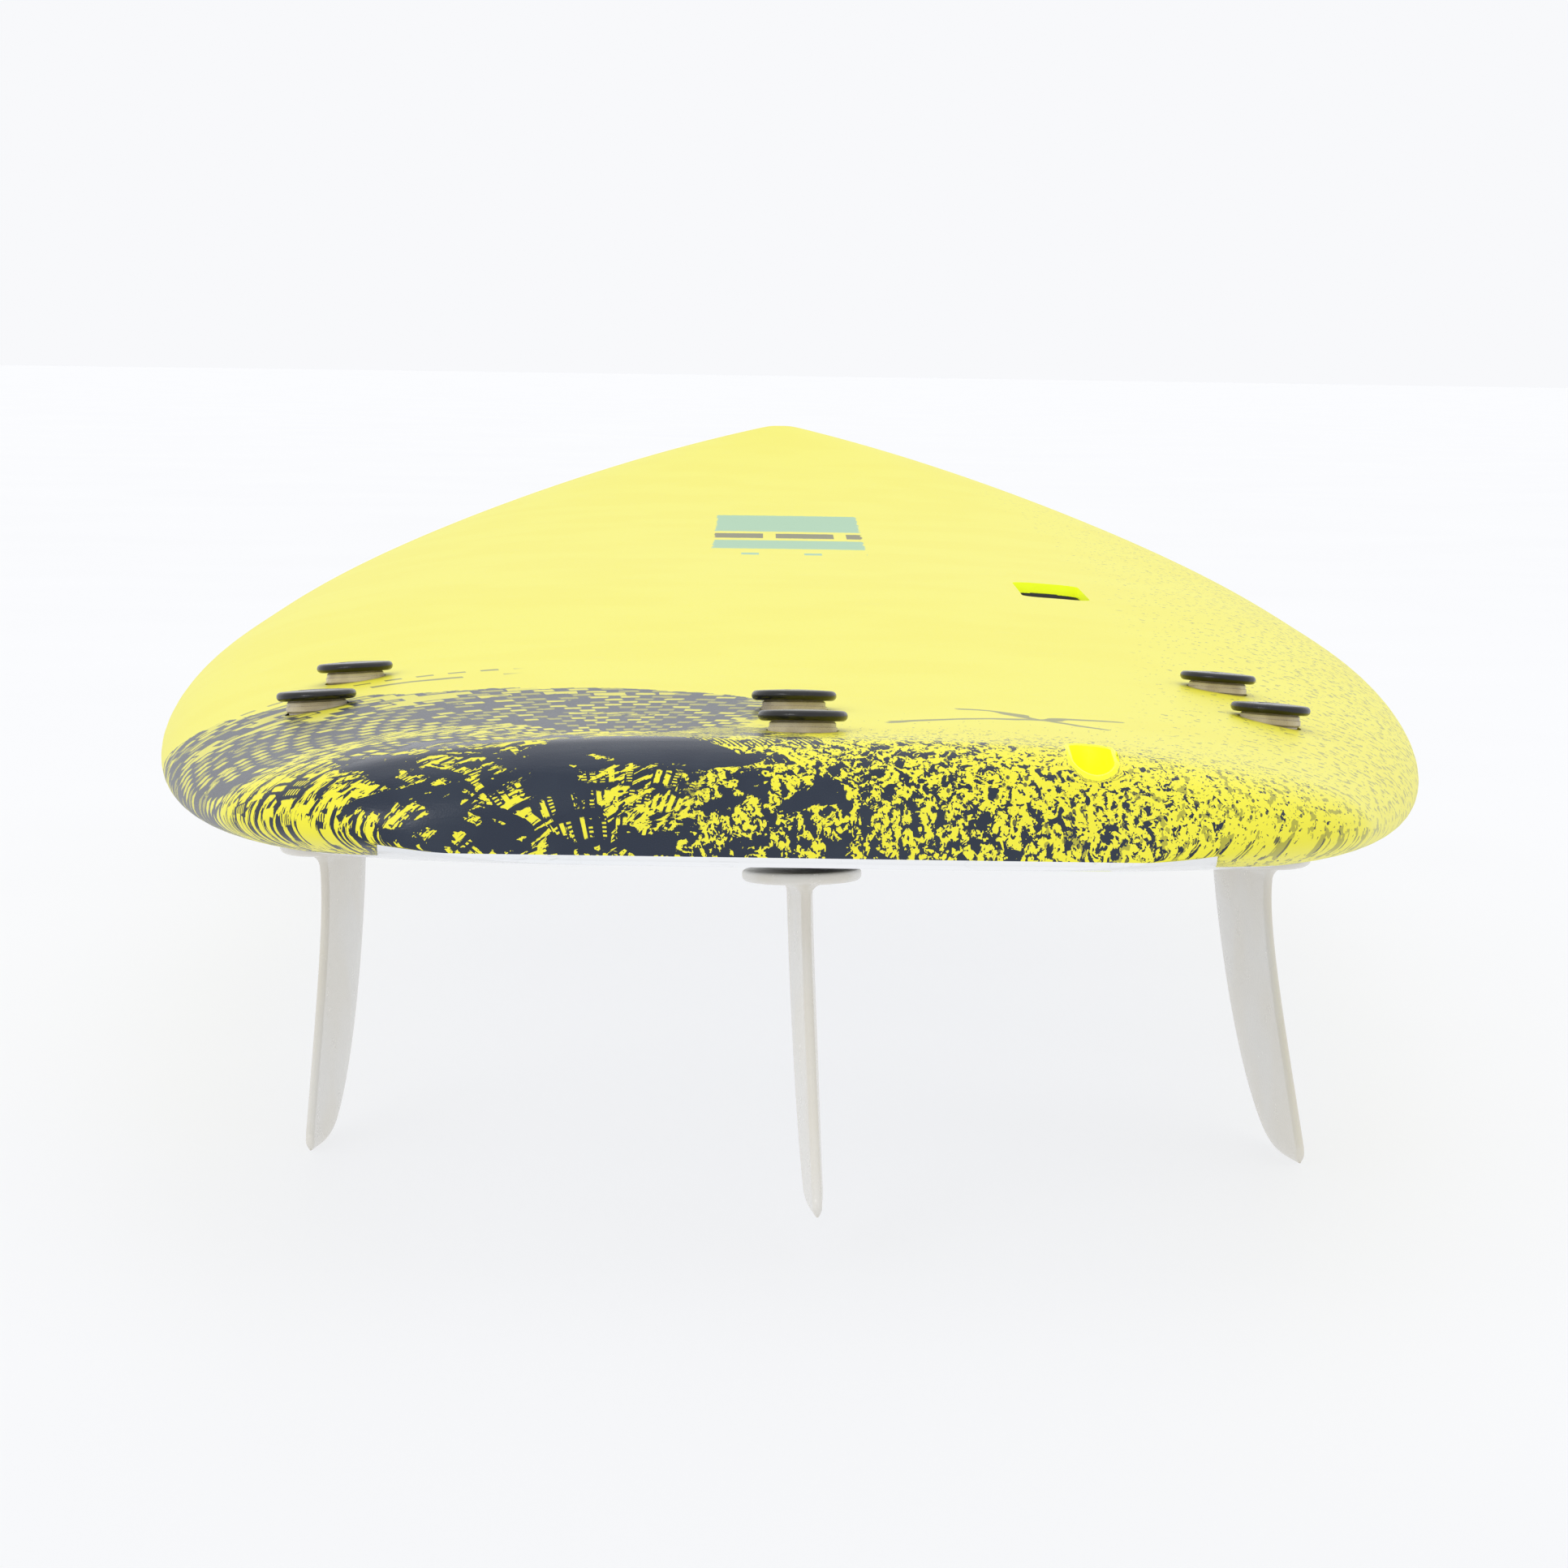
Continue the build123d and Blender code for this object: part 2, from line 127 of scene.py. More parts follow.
# ---------------------------------------------------------------- board shape, as the frame has it
WIDE_POINT, TAIL_NARROWING, TAIL_POWER = 0.50, 0.39, 2.38
NOSE_POWER, NOSE_FULLNESS, TAIL_CORNER = 2.47, 0.67, 0.060
NOSE_ROCKER, NOSE_ROCKER_POWER = 0.100, 3.06
TAIL_ROCKER, TAIL_ROCKER_POWER, ROCKER_LOW = 0.030, 2.87, 0.38
TAIL_THICK, TAIL_FOIL, TAIL_ROUND = 0.038, 2.2, 0.024
NOSE_THICK, NOSE_FOIL, NOSE_ROUND = 0.0285, 2.6, 0.012
RAIL_APEX, DECK_POWERS, BOTTOM_POWERS = 0.34, (2.98, 1.9), (6.0, 2.2)
SHEET_INSET, TAIL_SHEET, TAIL_LIP = 0.028, 0.127, 0.0012
HANDLE_PLACE, HANDLE_SIZE, HANDLE_CORNER = (0.122, 0.730), (0.031, 0.097), 0.009
LEASH_PLACE, LEASH_SIZE, LEASH_WALL, LEASH_PROUD = (0.090, 0.023), (0.013, 0.029), 0.0016, 0.0002
COLLAR_HOLE, HEAD_RISE, BLADE_LEAN = 0.0115, 0.0026, math.radians(1.9)


def end_round(distance, radius):
    """Drop of a quarter-round edge at a distance in from its end."""
    inside = np.clip((radius - distance) / radius, 0, 1)
    return radius * (1 - np.sqrt(1 - inside ** 2))


def half_width(y, size):
    u = np.asarray(y) / size.length
    s = np.clip((u - WIDE_POINT) / (1 - WIDE_POINT), 0, 1)
    q = np.clip((WIDE_POINT - u) / WIDE_POINT, 0, 1)
    nose = (1 - s ** NOSE_POWER) ** NOSE_FULLNESS
    return size.width / 2 * nose * (1 - TAIL_NARROWING * q ** TAIL_POWER) - end_round(y, TAIL_CORNER)


def bottom_z(y, size):
    u = np.asarray(y) / size.length
    up = np.clip((u - ROCKER_LOW) / (1 - ROCKER_LOW), 0, 1)
    down = np.clip((ROCKER_LOW - u) / ROCKER_LOW, 0, 1)
    return NOSE_ROCKER * up ** NOSE_ROCKER_POWER + TAIL_ROCKER * down ** TAIL_ROCKER_POWER


def thickness(y, size):
    u = np.asarray(y) / size.length
    nose = (size.thick - NOSE_THICK) * np.clip(2 * u - 1, 0, 1) ** NOSE_FOIL
    tail = (size.thick - TAIL_THICK) * np.clip(1 - 2 * u, 0, 1) ** TAIL_FOIL
    full = size.thick - nose - tail
    return full - end_round(y, TAIL_ROUND) - end_round(size.length - y, NOSE_ROUND)


def crown_z(y, size):
    """Height of the deck's middle before its ends are rounded off."""
    u = np.asarray(y) / size.length
    nose = (size.thick - NOSE_THICK) * np.clip(2 * u - 1, 0, 1) ** NOSE_FOIL
    tail = (size.thick - TAIL_THICK) * np.clip(1 - 2 * u, 0, 1) ** TAIL_FOIL
    return bottom_z(y, size) + size.thick - nose - tail


def around_section(steps):
    """(share of the half width, share of the height above or below the rail) round one half, deck first."""
    fine = np.linspace(math.pi / 2, 0, 4000)
    across, up = DECK_POWERS
    r, z = np.cos(fine).clip(0) ** (2 / across), np.sin(fine) ** (2 / up)
    path = np.hypot(np.diff(r) * 0.273, np.diff(z) * 0.052)
    reach = np.concatenate([[0], np.cumsum(path)])
    pull = 1 + 2.2 * np.exp(-((reach[-1] - reach) / 0.05) ** 2)
    weight = np.concatenate([[0], np.cumsum(pull[1:] * path)])
    at = np.interp(np.linspace(0, weight[-1], steps + 1), weight, np.arange(len(fine)))
    deck = [(np.interp(k, np.arange(len(r)), r), np.interp(k, np.arange(len(z)), z)) for k in at]
    across, up = BOTTOM_POWERS
    low = []
    for q in np.linspace(0, 1, steps // 2 + 1)[1:]:
        share = 1 - q ** 2.6
        low.append((share, -(1 - (1 - share ** across) ** (1 / up)) if share else -1.0))
    low = [(share, (1 - share ** across) ** (1 / up)) for share, _ in low]
    return [(s, h, 1) for s, h in deck] + [(s, h, -1) for s, h in low]


def station_list(size, first, last):
    """Places along the board where a section is drawn, closer together at both ends."""
    tail = [first + TAIL_CORNER * (1 - math.cos(math.radians(a))) for a in np.linspace(0, 90, 25)]
    middle = np.linspace(tail[-1], last - 0.12, size.stations)[1:]
    nose = [last - 0.12 * (1 - k) ** 2.2 for k in np.linspace(0, 1, 26)[1:]]
    return np.array(tail + list(middle) + nose)


def hull_mesh(size, name, inner=False):
    """Closed board surface, or the core's surface inside the skins."""
    side, low = (size.foam, size.sheet) if inner else (0.0, 0.0)
    first, last = (size.foam, size.length - 0.006) if inner else (0.0, size.length - 0.0006)
    steps = size.around // 2 if inner else size.around
    half = around_section(steps)
    ring = half + [(-s, h, k) for s, h, k in reversed(half[1:-1])]
    share = np.array([p[0] for p in ring])
    height = np.array([p[1] for p in ring])
    above = np.array([p[2] for p in ring]) > 0
    rows = []
    for y in station_list(size, first, last):
        w = half_width(y, size) - side
        t = thickness(y, size) - (size.foam + size.sheet if inner else 0.0)
        a = RAIL_APEX * t
        z = bottom_z(y, size) + low + np.where(above, a + (t - a) * height, a - a * height)
        rows.append(np.stack([share * w, np.full(len(ring), y), z], 1))
    rows = np.array(rows)
    count, wide = rows.shape[:2]
    verts = rows.reshape(-1, 3)
    faces = []
    for i in range(count - 1):
        for j in range(wide):
            k = (j + 1) % wide
            faces.append((i * wide + j, i * wide + k, (i + 1) * wide + k, (i + 1) * wide + j))
    pairs = wide // 2
    for base, flip in ((0, True), ((count - 1) * wide, False)):
        order = list(range(wide))
        for j in range(pairs):
            a, b = order[j], order[(j + 1) % wide]
            c, d = order[(wide - 1 - j) % wide], order[(wide - j) % wide]
            quad = [base + a, base + b, base + c, base + d]
            quad = list(dict.fromkeys(quad))
            if len(quad) >= 3 and j < pairs:
                faces.append(tuple(reversed(quad)) if flip else tuple(quad))
    return closed_mesh(name, verts + np.array([0.0, TAIL_Y, FLAT_Z]), faces)


# ---------------------------------------------------------------- mesh helpers
def closed_mesh(name, verts, faces):
    mesh = bpy.data.meshes.new(name)
    mesh.from_pydata([tuple(v) for v in verts], [], faces)
    kit = bmesh.new()
    kit.from_mesh(mesh)
    bmesh.ops.remove_doubles(kit, verts=kit.verts, dist=1e-6)
    bmesh.ops.dissolve_degenerate(kit, edges=kit.edges, dist=1e-7)
    bmesh.ops.recalc_face_normals(kit, faces=kit.faces)
    kit.to_mesh(mesh)
    kit.free()
    return new_object(name, mesh)


def new_object(name, mesh):
    thing = bpy.data.objects.new(name, mesh)
    bpy.context.scene.collection.objects.link(thing)
    return thing


def discard(*things):
    for thing in things:
        mesh = thing.data
        bpy.data.objects.remove(thing)
        if mesh and not mesh.users:
            bpy.data.meshes.remove(mesh)


def applied(thing):
    """The object's mesh with its modifiers worked in and removed."""
    graph = bpy.context.evaluated_depsgraph_get()
    mesh = bpy.data.meshes.new_from_object(thing.evaluated_get(graph))
    old = thing.data
    thing.modifiers.clear()
    thing.data = mesh
    if old is not None and not old.users:
        bpy.data.meshes.remove(old)
    return thing


def cut(thing, tool, operation="DIFFERENCE", keep_tool=False):
    """Boolean of two closed meshes."""
    step = thing.modifiers.new("cut", "BOOLEAN")
    step.operation = operation
    step.solver = "MANIFOLD"
    step.object = tool
    applied(thing)
    if not len(thing.data.polygons):
        raise RuntimeError(f"{thing.name}: the {operation.lower()} with {tool.name} left nothing")
    if not keep_tool:
        discard(tool)
    return thing


def smooth(thing, degrees=35):
    thing.data.polygons.foreach_set("use_smooth", [True] * len(thing.data.polygons))
    thing.data.set_sharp_from_angle(angle=math.radians(degrees))
    return thing


def rounded_outline(size, corner, steps=8):
    """Corner-rounded rectangle round the origin."""
    points = []
    for cx, cy, start in ((1, 1, 0), (-1, 1, 90), (-1, -1, 180), (1, -1, 270)):
        for k in range(steps + 1):
            a = math.radians(start + 90 * k / steps)
            points.append((cx * (size[0] / 2 - corner) + corner * math.cos(a),
                           cy * (size[1] / 2 - corner) + corner * math.sin(a)))
    return points


def prism(name, outline, low, high):
    """Upright block over an outline."""
    count = len(outline)
    verts = [(x, y, low) for x, y in outline] + [(x, y, high) for x, y in outline]
    faces = [tuple(range(count - 1, -1, -1)), tuple(range(count, 2 * count))]
    for k in range(count):
        n = (k + 1) % count
        faces.append((k, n, n + count, k + count))
    return closed_mesh(name, verts, faces)


def lathe(name, profile, steps=72):
    """Closed turned shape from (radius, height) points that start and end on the axis."""
    verts, faces, rings = [], [], []
    for radius, height in profile:
        if radius < 1e-9:
            rings.append([len(verts)] * steps)
            verts.append((0.0, 0.0, height))
            continue
        rings.append(list(range(len(verts), len(verts) + steps)))
        for k in range(steps):
            a = 2 * math.pi * k / steps
            verts.append((radius * math.cos(a), radius * math.sin(a), height))
    for low, high in zip(rings, rings[1:]):
        for k in range(steps):
            n = (k + 1) % steps
            quad = list(dict.fromkeys((low[k], low[n], high[n], high[k])))
            if len(quad) > 2:
                faces.append(tuple(quad))
    return closed_mesh(name, verts, faces)


def arc(cx, cy, radius, start, end, steps=6):
    return [(cx + radius * math.cos(math.radians(a)), cy + radius * math.sin(math.radians(a)))
            for a in np.linspace(start, end, steps + 1)]


def placed(thing, matrix):
    thing.data.transform(matrix)
    return thing


def screw_axis(side, end):
    """Seat and direction of one fin screw, from its joint."""
    joint = JOINTS[f"screw_{side}_{end}_turn"]
    return Vector(joint["pos_m"]), Vector(joint["axis"]).normalized()


def fin_matrix(side, depth):
    """Place of a fin: X to the nose along its flange, Z up its blade, the flange's top at Z = 0."""
    rear, post = screw_axis(side, "rear")
    front, _ = screw_axis(side, "front")
    run = front - rear
    forward = Vector((run.x, run.y, -(run.x * post.x + run.y * post.y) / post.z)).normalized()
    upright = Vector((-math.sin(BLADE_LEAN), 0, math.cos(BLADE_LEAN)))
    up = (upright - forward * upright.dot(forward)).normalized()
    node = frame["nodes"]["fin_" + side]
    lowest = min(v.co.dot(up) for v in node.data.vertices)
    middle = (rear + front) / 2 - post * HEAD_RISE
    origin = middle - up * (middle.dot(up) - lowest - depth)
    turn = Matrix((forward, up.cross(forward), up)).transposed().to_4x4()
    return Matrix.Translation(origin) @ turn


# ---------------------------------------------------------------- node helpers
class Field:
    """A value that changes over the surface; arithmetic on it adds Math nodes to its tree."""

    def __init__(self, tree, socket):
        self.tree = tree
        self.socket = socket

    def math(self, kind, *others, clamp=False):
        node = self.tree.nodes.new("ShaderNodeMath")
        node.operation = kind
        node.use_clamp = clamp
        for slot, value in zip(node.inputs, (self,) + others):
            if isinstance(value, Field):
                self.tree.links.new(value.socket, slot)
            else:
                slot.default_value = value
        return Field(self.tree, node.outputs[0])

    def __add__(self, other):
        return self.math("ADD", other)

    def __sub__(self, other):
        return self.math("SUBTRACT", other)

    def __mul__(self, other):
        return self.math("MULTIPLY", other)

    def __neg__(self):
        return self.math("MULTIPLY", -1.0)

    def over(self, edge):
        """1 where this is above the edge."""
        return self.math("GREATER_THAN", edge)

    def step(self, low, high):
        """0 at low to 1 at high, smoothly; low may be above high."""
        node = self.tree.nodes.new("ShaderNodeMapRange")
        node.interpolation_type = "SMOOTHSTEP"
        for slot, value in zip(node.inputs[:3], (self, low, high)):
            if isinstance(value, Field):
                self.tree.links.new(value.socket, slot)
            else:
                slot.default_value = value
        return Field(self.tree, node.outputs[0])

    def inside(self, low, high, soft=0.0004):
        """1 between two edges."""
        return self.step(low - soft, low + soft) * self.step(high + soft, high - soft)


def either(first, *others):
    for other in others:
        first = first.math("MAXIMUM", other)
    return first


def vector(tree, x, y, z=0.0):
    node = tree.nodes.new("ShaderNodeCombineXYZ")
    for slot, value in zip(node.inputs, (x, y, z)):
        if isinstance(value, Field):
            tree.links.new(value.socket, slot)
        else:
            slot.default_value = value
    return node.outputs[0]


def parts_of(tree, socket):
    node = tree.nodes.new("ShaderNodeSeparateXYZ")
    tree.links.new(socket, node.inputs[0])
    return [Field(tree, out) for out in node.outputs]


def noise(tree, where, scale, detail=2.0, rough=0.5, stretch=None, distortion=0.0):
    if stretch:
        scaled = tree.nodes.new("ShaderNodeVectorMath")
        scaled.operation = "MULTIPLY"
        scaled.inputs[1].default_value = stretch
        tree.links.new(where, scaled.inputs[0])
        where = scaled.outputs[0]
    node = tree.nodes.new("ShaderNodeTexNoise")
    tree.links.new(where, node.inputs["Vector"])
    node.inputs["Scale"].default_value = scale
    node.inputs["Detail"].default_value = detail
    node.inputs["Roughness"].default_value = rough
    node.inputs["Distortion"].default_value = distortion
    return Field(tree, node.outputs[0])


def cells(tree, where, scale, feature="F1", output="Distance", chaos=1.0):
    node = tree.nodes.new("ShaderNodeTexVoronoi")
    node.feature = feature
    tree.links.new(where, node.inputs["Vector"])
    node.inputs["Scale"].default_value = scale
    node.inputs["Randomness"].default_value = chaos
    return Field(tree, node.outputs[output])


def chance(tree, where):
    node = tree.nodes.new("ShaderNodeTexWhiteNoise")
    tree.links.new(where, node.inputs["Vector"])
    return Field(tree, node.outputs["Value"])


def group(name, inputs, outputs, build):
    """A shader node group with named sockets, made once."""
    if name in bpy.data.node_groups:
        return bpy.data.node_groups[name]
    tree = bpy.data.node_groups.new(name, "ShaderNodeTree")
    for label, kind, default in inputs:
        made = tree.interface.new_socket(name=label, in_out="INPUT", socket_type=kind)
        if default is not None:
            made.default_value = default
    for label, kind in outputs:
        tree.interface.new_socket(name=label, in_out="OUTPUT", socket_type=kind)
    source = tree.nodes.new("NodeGroupInput")
    sink = tree.nodes.new("NodeGroupOutput")
    results = build(tree, source)
    for label, _ in outputs:
        tree.links.new(results[label].socket, sink.inputs[label])
    return tree


def use_group(tree, made, where=None, **values):
    node = tree.nodes.new("ShaderNodeGroup")
    node.node_tree = made
    if where is not None:
        tree.links.new(where, node.inputs["Vector"])
    for label, value in values.items():
        node.inputs[label].default_value = value
    return {out.name: Field(tree, out) for out in node.outputs}


VECTOR, NUMBER = "NodeSocketVector", "NodeSocketFloat"


def grain_group():
    """Fine pebble of moulded plastic or foam, with slow waves under it."""
    def build(tree, source):
        where = source.outputs["Vector"]
        fine = tree.nodes.new("ShaderNodeTexNoise")
        tree.links.new(where, fine.inputs["Vector"])
        tree.links.new(source.outputs["Fine"], fine.inputs["Scale"])
        fine.inputs["Detail"].default_value = 3.0
        slow = tree.nodes.new("ShaderNodeTexNoise")
        tree.links.new(where, slow.inputs["Vector"])
        tree.links.new(source.outputs["Slow"], slow.inputs["Scale"])
        slow.inputs["Detail"].default_value = 1.0
        pebble, wave = Field(tree, fine.outputs[0]), Field(tree, slow.outputs[0])
        return {"Height": pebble * 0.35 + wave, "Mask": pebble.step(0.35, 0.65),
                "Patch": wave.step(0.38, 0.62)}
    return group("surface_grain",
                 [("Vector", VECTOR, None), ("Fine", NUMBER, 900.0), ("Slow", NUMBER, 40.0)],
                 [("Height", NUMBER), ("Mask", NUMBER), ("Patch", NUMBER)], build)


def scuff_group():
    """Hairline scratches in a few directions and small rubbed spots, as a mask."""
    def build(tree, source):
        where = source.outputs["Vector"]
        lines = []
        for stretch in ((1, 12, 1), (9, 1.5, 3), (2, 5, 11)):
            thread = noise(tree, where, 22, 2, 0.4, stretch, 0.3)
            place = noise(tree, where, 14, 1, 0.5, tuple(reversed(stretch)))
            lines.append(thread.inside(0.497, 0.503, 0.002) * place.step(0.54, 0.62))
        rubbed = noise(tree, where, 60, 4, 0.7).step(0.60, 0.68)
        amount = Field(tree, source.outputs["Amount"])
        return {"Scuff": either(*lines) * amount, "Rubbed": rubbed * amount}
    return group("handling_scuffs", [("Vector", VECTOR, None), ("Amount", NUMBER, 1.0)],
                 [("Scuff", NUMBER), ("Rubbed", NUMBER)], build)


def print_group():
    """The deck's dark print as an ink mask. Vector is (across, along, share of the half width)."""
    def build(tree, source):
        where = source.outputs["Vector"]
        u, v, rail = parts_of(tree, where)
        plain = vector(tree, u, v)
        rough_edge = noise(tree, plain, 240, 3, 0.65) - 0.5
        wide_edge = noise(tree, plain, 20, 2, 0.5) - 0.5

        # chips of splattered ink, dense along the tail and thinning forward
        dense = (v + wide_edge * 0.06).step(0.085, -0.045) * u.step(0.235, 0.02)
        dense = dense * (u + rough_edge * 0.03 + wide_edge * 0.08).step(-0.075, -0.015)
        chips = noise(tree, plain, 270, 3.0, 0.62, (1.0, 0.72, 1.0), 0.6)
        crumbs = noise(tree, plain, 620, 2.0, 0.6, (1.0, 0.8, 1.0), 0.3)
        chip_ink = (chips + dense * 0.185).over(0.675) * dense.over(0.04)
        crumb_ink = (crumbs + dense * 0.13).over(0.665) * dense.over(0.03)
        fleck_zone = (v + wide_edge * 0.05).step(0.19, 0.01) * u.step(0.275, 0.15) * u.step(-0.03, 0.05)
        flecks = cells(tree, vector(tree, u, v * 0.55), 300)
        fleck_ink = (fleck_zone * 0.20 - flecks).over(0.0)

        # solid brushed blotches left of the middle of the tail
        island = noise(tree, plain, 44, 5, 0.62, (0.75, 1.15, 1.0), 0.8)
        blot_zone = (u + wide_edge * 0.06).step(-0.165, -0.12) * u.step(0.03, -0.045)
        blot_zone = blot_zone * (v + wide_edge * 0.04).step(0.055, 0.015)
        blot_ink = (island + blot_zone * 0.105 + rough_edge * 0.16).over(0.585) * blot_zone.over(0.12)

        # tread tracks that sweep round the left rail to the middle
        cx, cy = u + 0.055, v + 0.075
        radius = (cx * cx + cy * cy).math("SQRT") + wide_edge * 0.010
        angle = cy.math("ARCTAN2", cx)
        track = radius.math("DIVIDE", 0.0105)
        lane = track.math("FLOOR")
        along = angle * 24.0 + lane * 0.5 + wide_edge * 0.5
        block = along.math("FLOOR")
        pick = chance(tree, vector(tree, lane, block))
        other = chance(tree, vector(tree, block, lane))
        gap = (track + rough_edge * 0.35).math("FRACT").inside(0.20, 0.82, 0.03)
        gap = gap * (along + rough_edge * 0.25).math("FRACT").inside(0.12, 0.72, 0.03)
        hatch = (radius * 4600.0 + rough_edge * 2.2).math("SINE").step(-0.35, 0.15)
        hatched = pick.inside(0.22, 0.62, 0.001)
        window = gap * pick.over(0.22) * (hatched * hatch * -1.0 + 1.0)
        strokes = noise(tree, vector(tree, u * 0.8 + v * 0.6, v * 0.8 - u * 0.6), 240, 3, 0.6,
                        (0.35, 1.6, 1.0), 0.5)
        scratched = (wide_edge + other * 0.08 - (v - 0.055) * 1.6).over(0.055)
        window = either(window, strokes.over(0.5) * scratched)
        top = u.step(-0.26, -0.10) * -0.055 + u.step(-0.075, 0.05) * -0.105 + 0.292
        zone = (top + wide_edge * 0.07 + rough_edge * 0.015 - v).over(0.0)
        zone = zone * (u + rough_edge * 0.05 + wide_edge * 0.10 + (v - 0.08) * -0.18).step(-0.014, -0.028)
        loose = (v + rough_edge * 0.03 - 0.20 - wide_edge * 0.2).over(0.0) * other.over(0.55)
        track_ink = zone * (window * -1.0 + 1.0) * (loose * -0.85 + 1.0)
        film = either(track_ink, zone * window * (v - 0.06).step(0.0, 0.05) * 0.16)

        # dashes ahead of the tracks
        reach = radius + wide_edge * 0.006
        dash = (angle * 30.0).math("FRACT").over(0.45) * reach.inside(0.392, 0.397)
        band = reach.inside(0.372, 0.378) * (angle * 7.0).math("FRACT").over(0.30)
        dash_ink = either(dash, band) * u.step(-0.10, -0.115) * (v - 0.36).step(0.01, 0.0)

        # a comb of fine lines and a small branch beside the middle screws
        slant = u * 0.86 + v * 0.42
        comb = (slant * 4200.0 + rough_edge * 2.0).math("SINE").over(0.1)
        comb_zone = (u + 0.012 + wide_edge * 0.05).inside(-0.030, 0.016, 0.004)
        comb_zone = comb_zone * (v + rough_edge * 0.02).inside(0.012, 0.068, 0.004)
        comb_ink = comb * comb_zone.over(0.5) * noise(tree, plain, 60, 1, 0.5).over(0.44)
        bend = v - 0.128 - (u - 0.075) * 0.55 - wide_edge * 0.05
        twig = bend.inside(-0.0035, 0.0035, 0.001) * u.inside(0.030, 0.112, 0.01)
        fork = (v - 0.135 + (u - 0.08) * 0.9 - wide_edge * 0.06).inside(-0.003, 0.003, 0.001)
        twig_ink = either(twig, fork * u.inside(0.055, 0.105, 0.008))
        twig_ink = (twig_ink + rough_edge * 0.9).over(0.45)

        # dust of faint flecks along the right rail
        dust = noise(tree, plain, 260, 2, 0.6, (1.0, 0.6, 1.0)) + rail.step(0.5, 1.0) * 0.09
        dust = dust.over(0.66) * v.step(1.82, 0.9) * rail.step(0.5, 0.62)
        edge = (v + 0.0355 + rough_edge * 0.006).over(0.0)
        return {
            "Ink": either(chip_ink, crumb_ink, fleck_ink * 0.85, blot_ink, film, dash_ink * 0.7,
                          comb_ink, twig_ink * 0.7, dust * 0.5) * edge,
            "Solid": blot_ink,
        }
    return group("deck_print", [("Vector", VECTOR, None)], [("Ink", NUMBER), ("Solid", NUMBER)], build)


def label_group():
    """Two plain bands with a broken stripe between them. Vector is (across, along, 0)."""
    def build(tree, source):
        u, v, _ = parts_of(tree, source.outputs["Vector"])
        wear = (noise(tree, source.outputs["Vector"], 120, 3, 0.6) - 0.5) * 0.004
        across = (u + wear).inside(-0.038, 0.042)
        bands = either((v + wear).inside(0.992, 1.062), (v + wear).inside(1.135, 1.262))
        dashes = (u * 26.0 + 0.3).math("FRACT").over(0.18)
        stripe = (v + wear).inside(1.080, 1.118) * dashes
        ticks = (v + wear).inside(0.940, 0.956) * (u * 31.0 + 0.42).math("FRACT").over(0.72)
        return {"Band": either(bands, ticks) * across, "Stripe": stripe * across}
    return group("deck_label", [("Vector", VECTOR, None)], [("Band", NUMBER), ("Stripe", NUMBER)], build)


# ---------------------------------------------------------------- materials
class Finish:
    """A material with one Principled shader and the few links its surface needs."""

    def __init__(self, name, colour, rough, **sockets):
        self.material = bpy.data.materials.new(name)
        self.material.use_nodes = True
        self.tree = self.material.node_tree
        self.shader = self.tree.nodes["Principled BSDF"]
        self.shader.inputs["Base Color"].default_value = (*colour, 1)
        self.shader.inputs["Roughness"].default_value = rough
        for label, value in sockets.items():
            self.shader.inputs[label.replace("_", " ")].default_value = value
        place = self.tree.nodes.new("ShaderNodeTexCoord")
        self.where = place.outputs["Object"]

    def mix(self, amount, first, second):
        """Colour between two colours or sockets."""
        node = self.tree.nodes.new("ShaderNodeMix")
        node.data_type = "RGBA"
        slots = (node.inputs["Factor"], node.inputs["A"], node.inputs["B"])
        slots = [s for s in node.inputs if s.identifier in ("Factor_Float", "A_Color", "B_Color")]
        for slot, value in zip(slots, (amount, first, second)):
            if isinstance(value, Field):
                self.tree.links.new(value.socket, slot)
            elif isinstance(value, bpy.types.NodeSocket):
                self.tree.links.new(value, slot)
            else:
                slot.default_value = value if isinstance(value, float) else (*value, 1)
        return [o for o in node.outputs if o.identifier == "Result_Color"][0]

    def colour(self, socket):
        self.tree.links.new(socket, self.shader.inputs["Base Color"])

    def rough(self, field):
        self.tree.links.new(field.socket, self.shader.inputs["Roughness"])

    def bump(self, height, distance, strength=1.0):
        node = self.tree.nodes.new("ShaderNodeBump")
        node.inputs["Distance"].default_value = distance
        node.inputs["Strength"].default_value = strength
        self.tree.links.new(height.socket, node.inputs["Height"])
        self.tree.links.new(node.outputs[0], self.shader.inputs["Normal"])


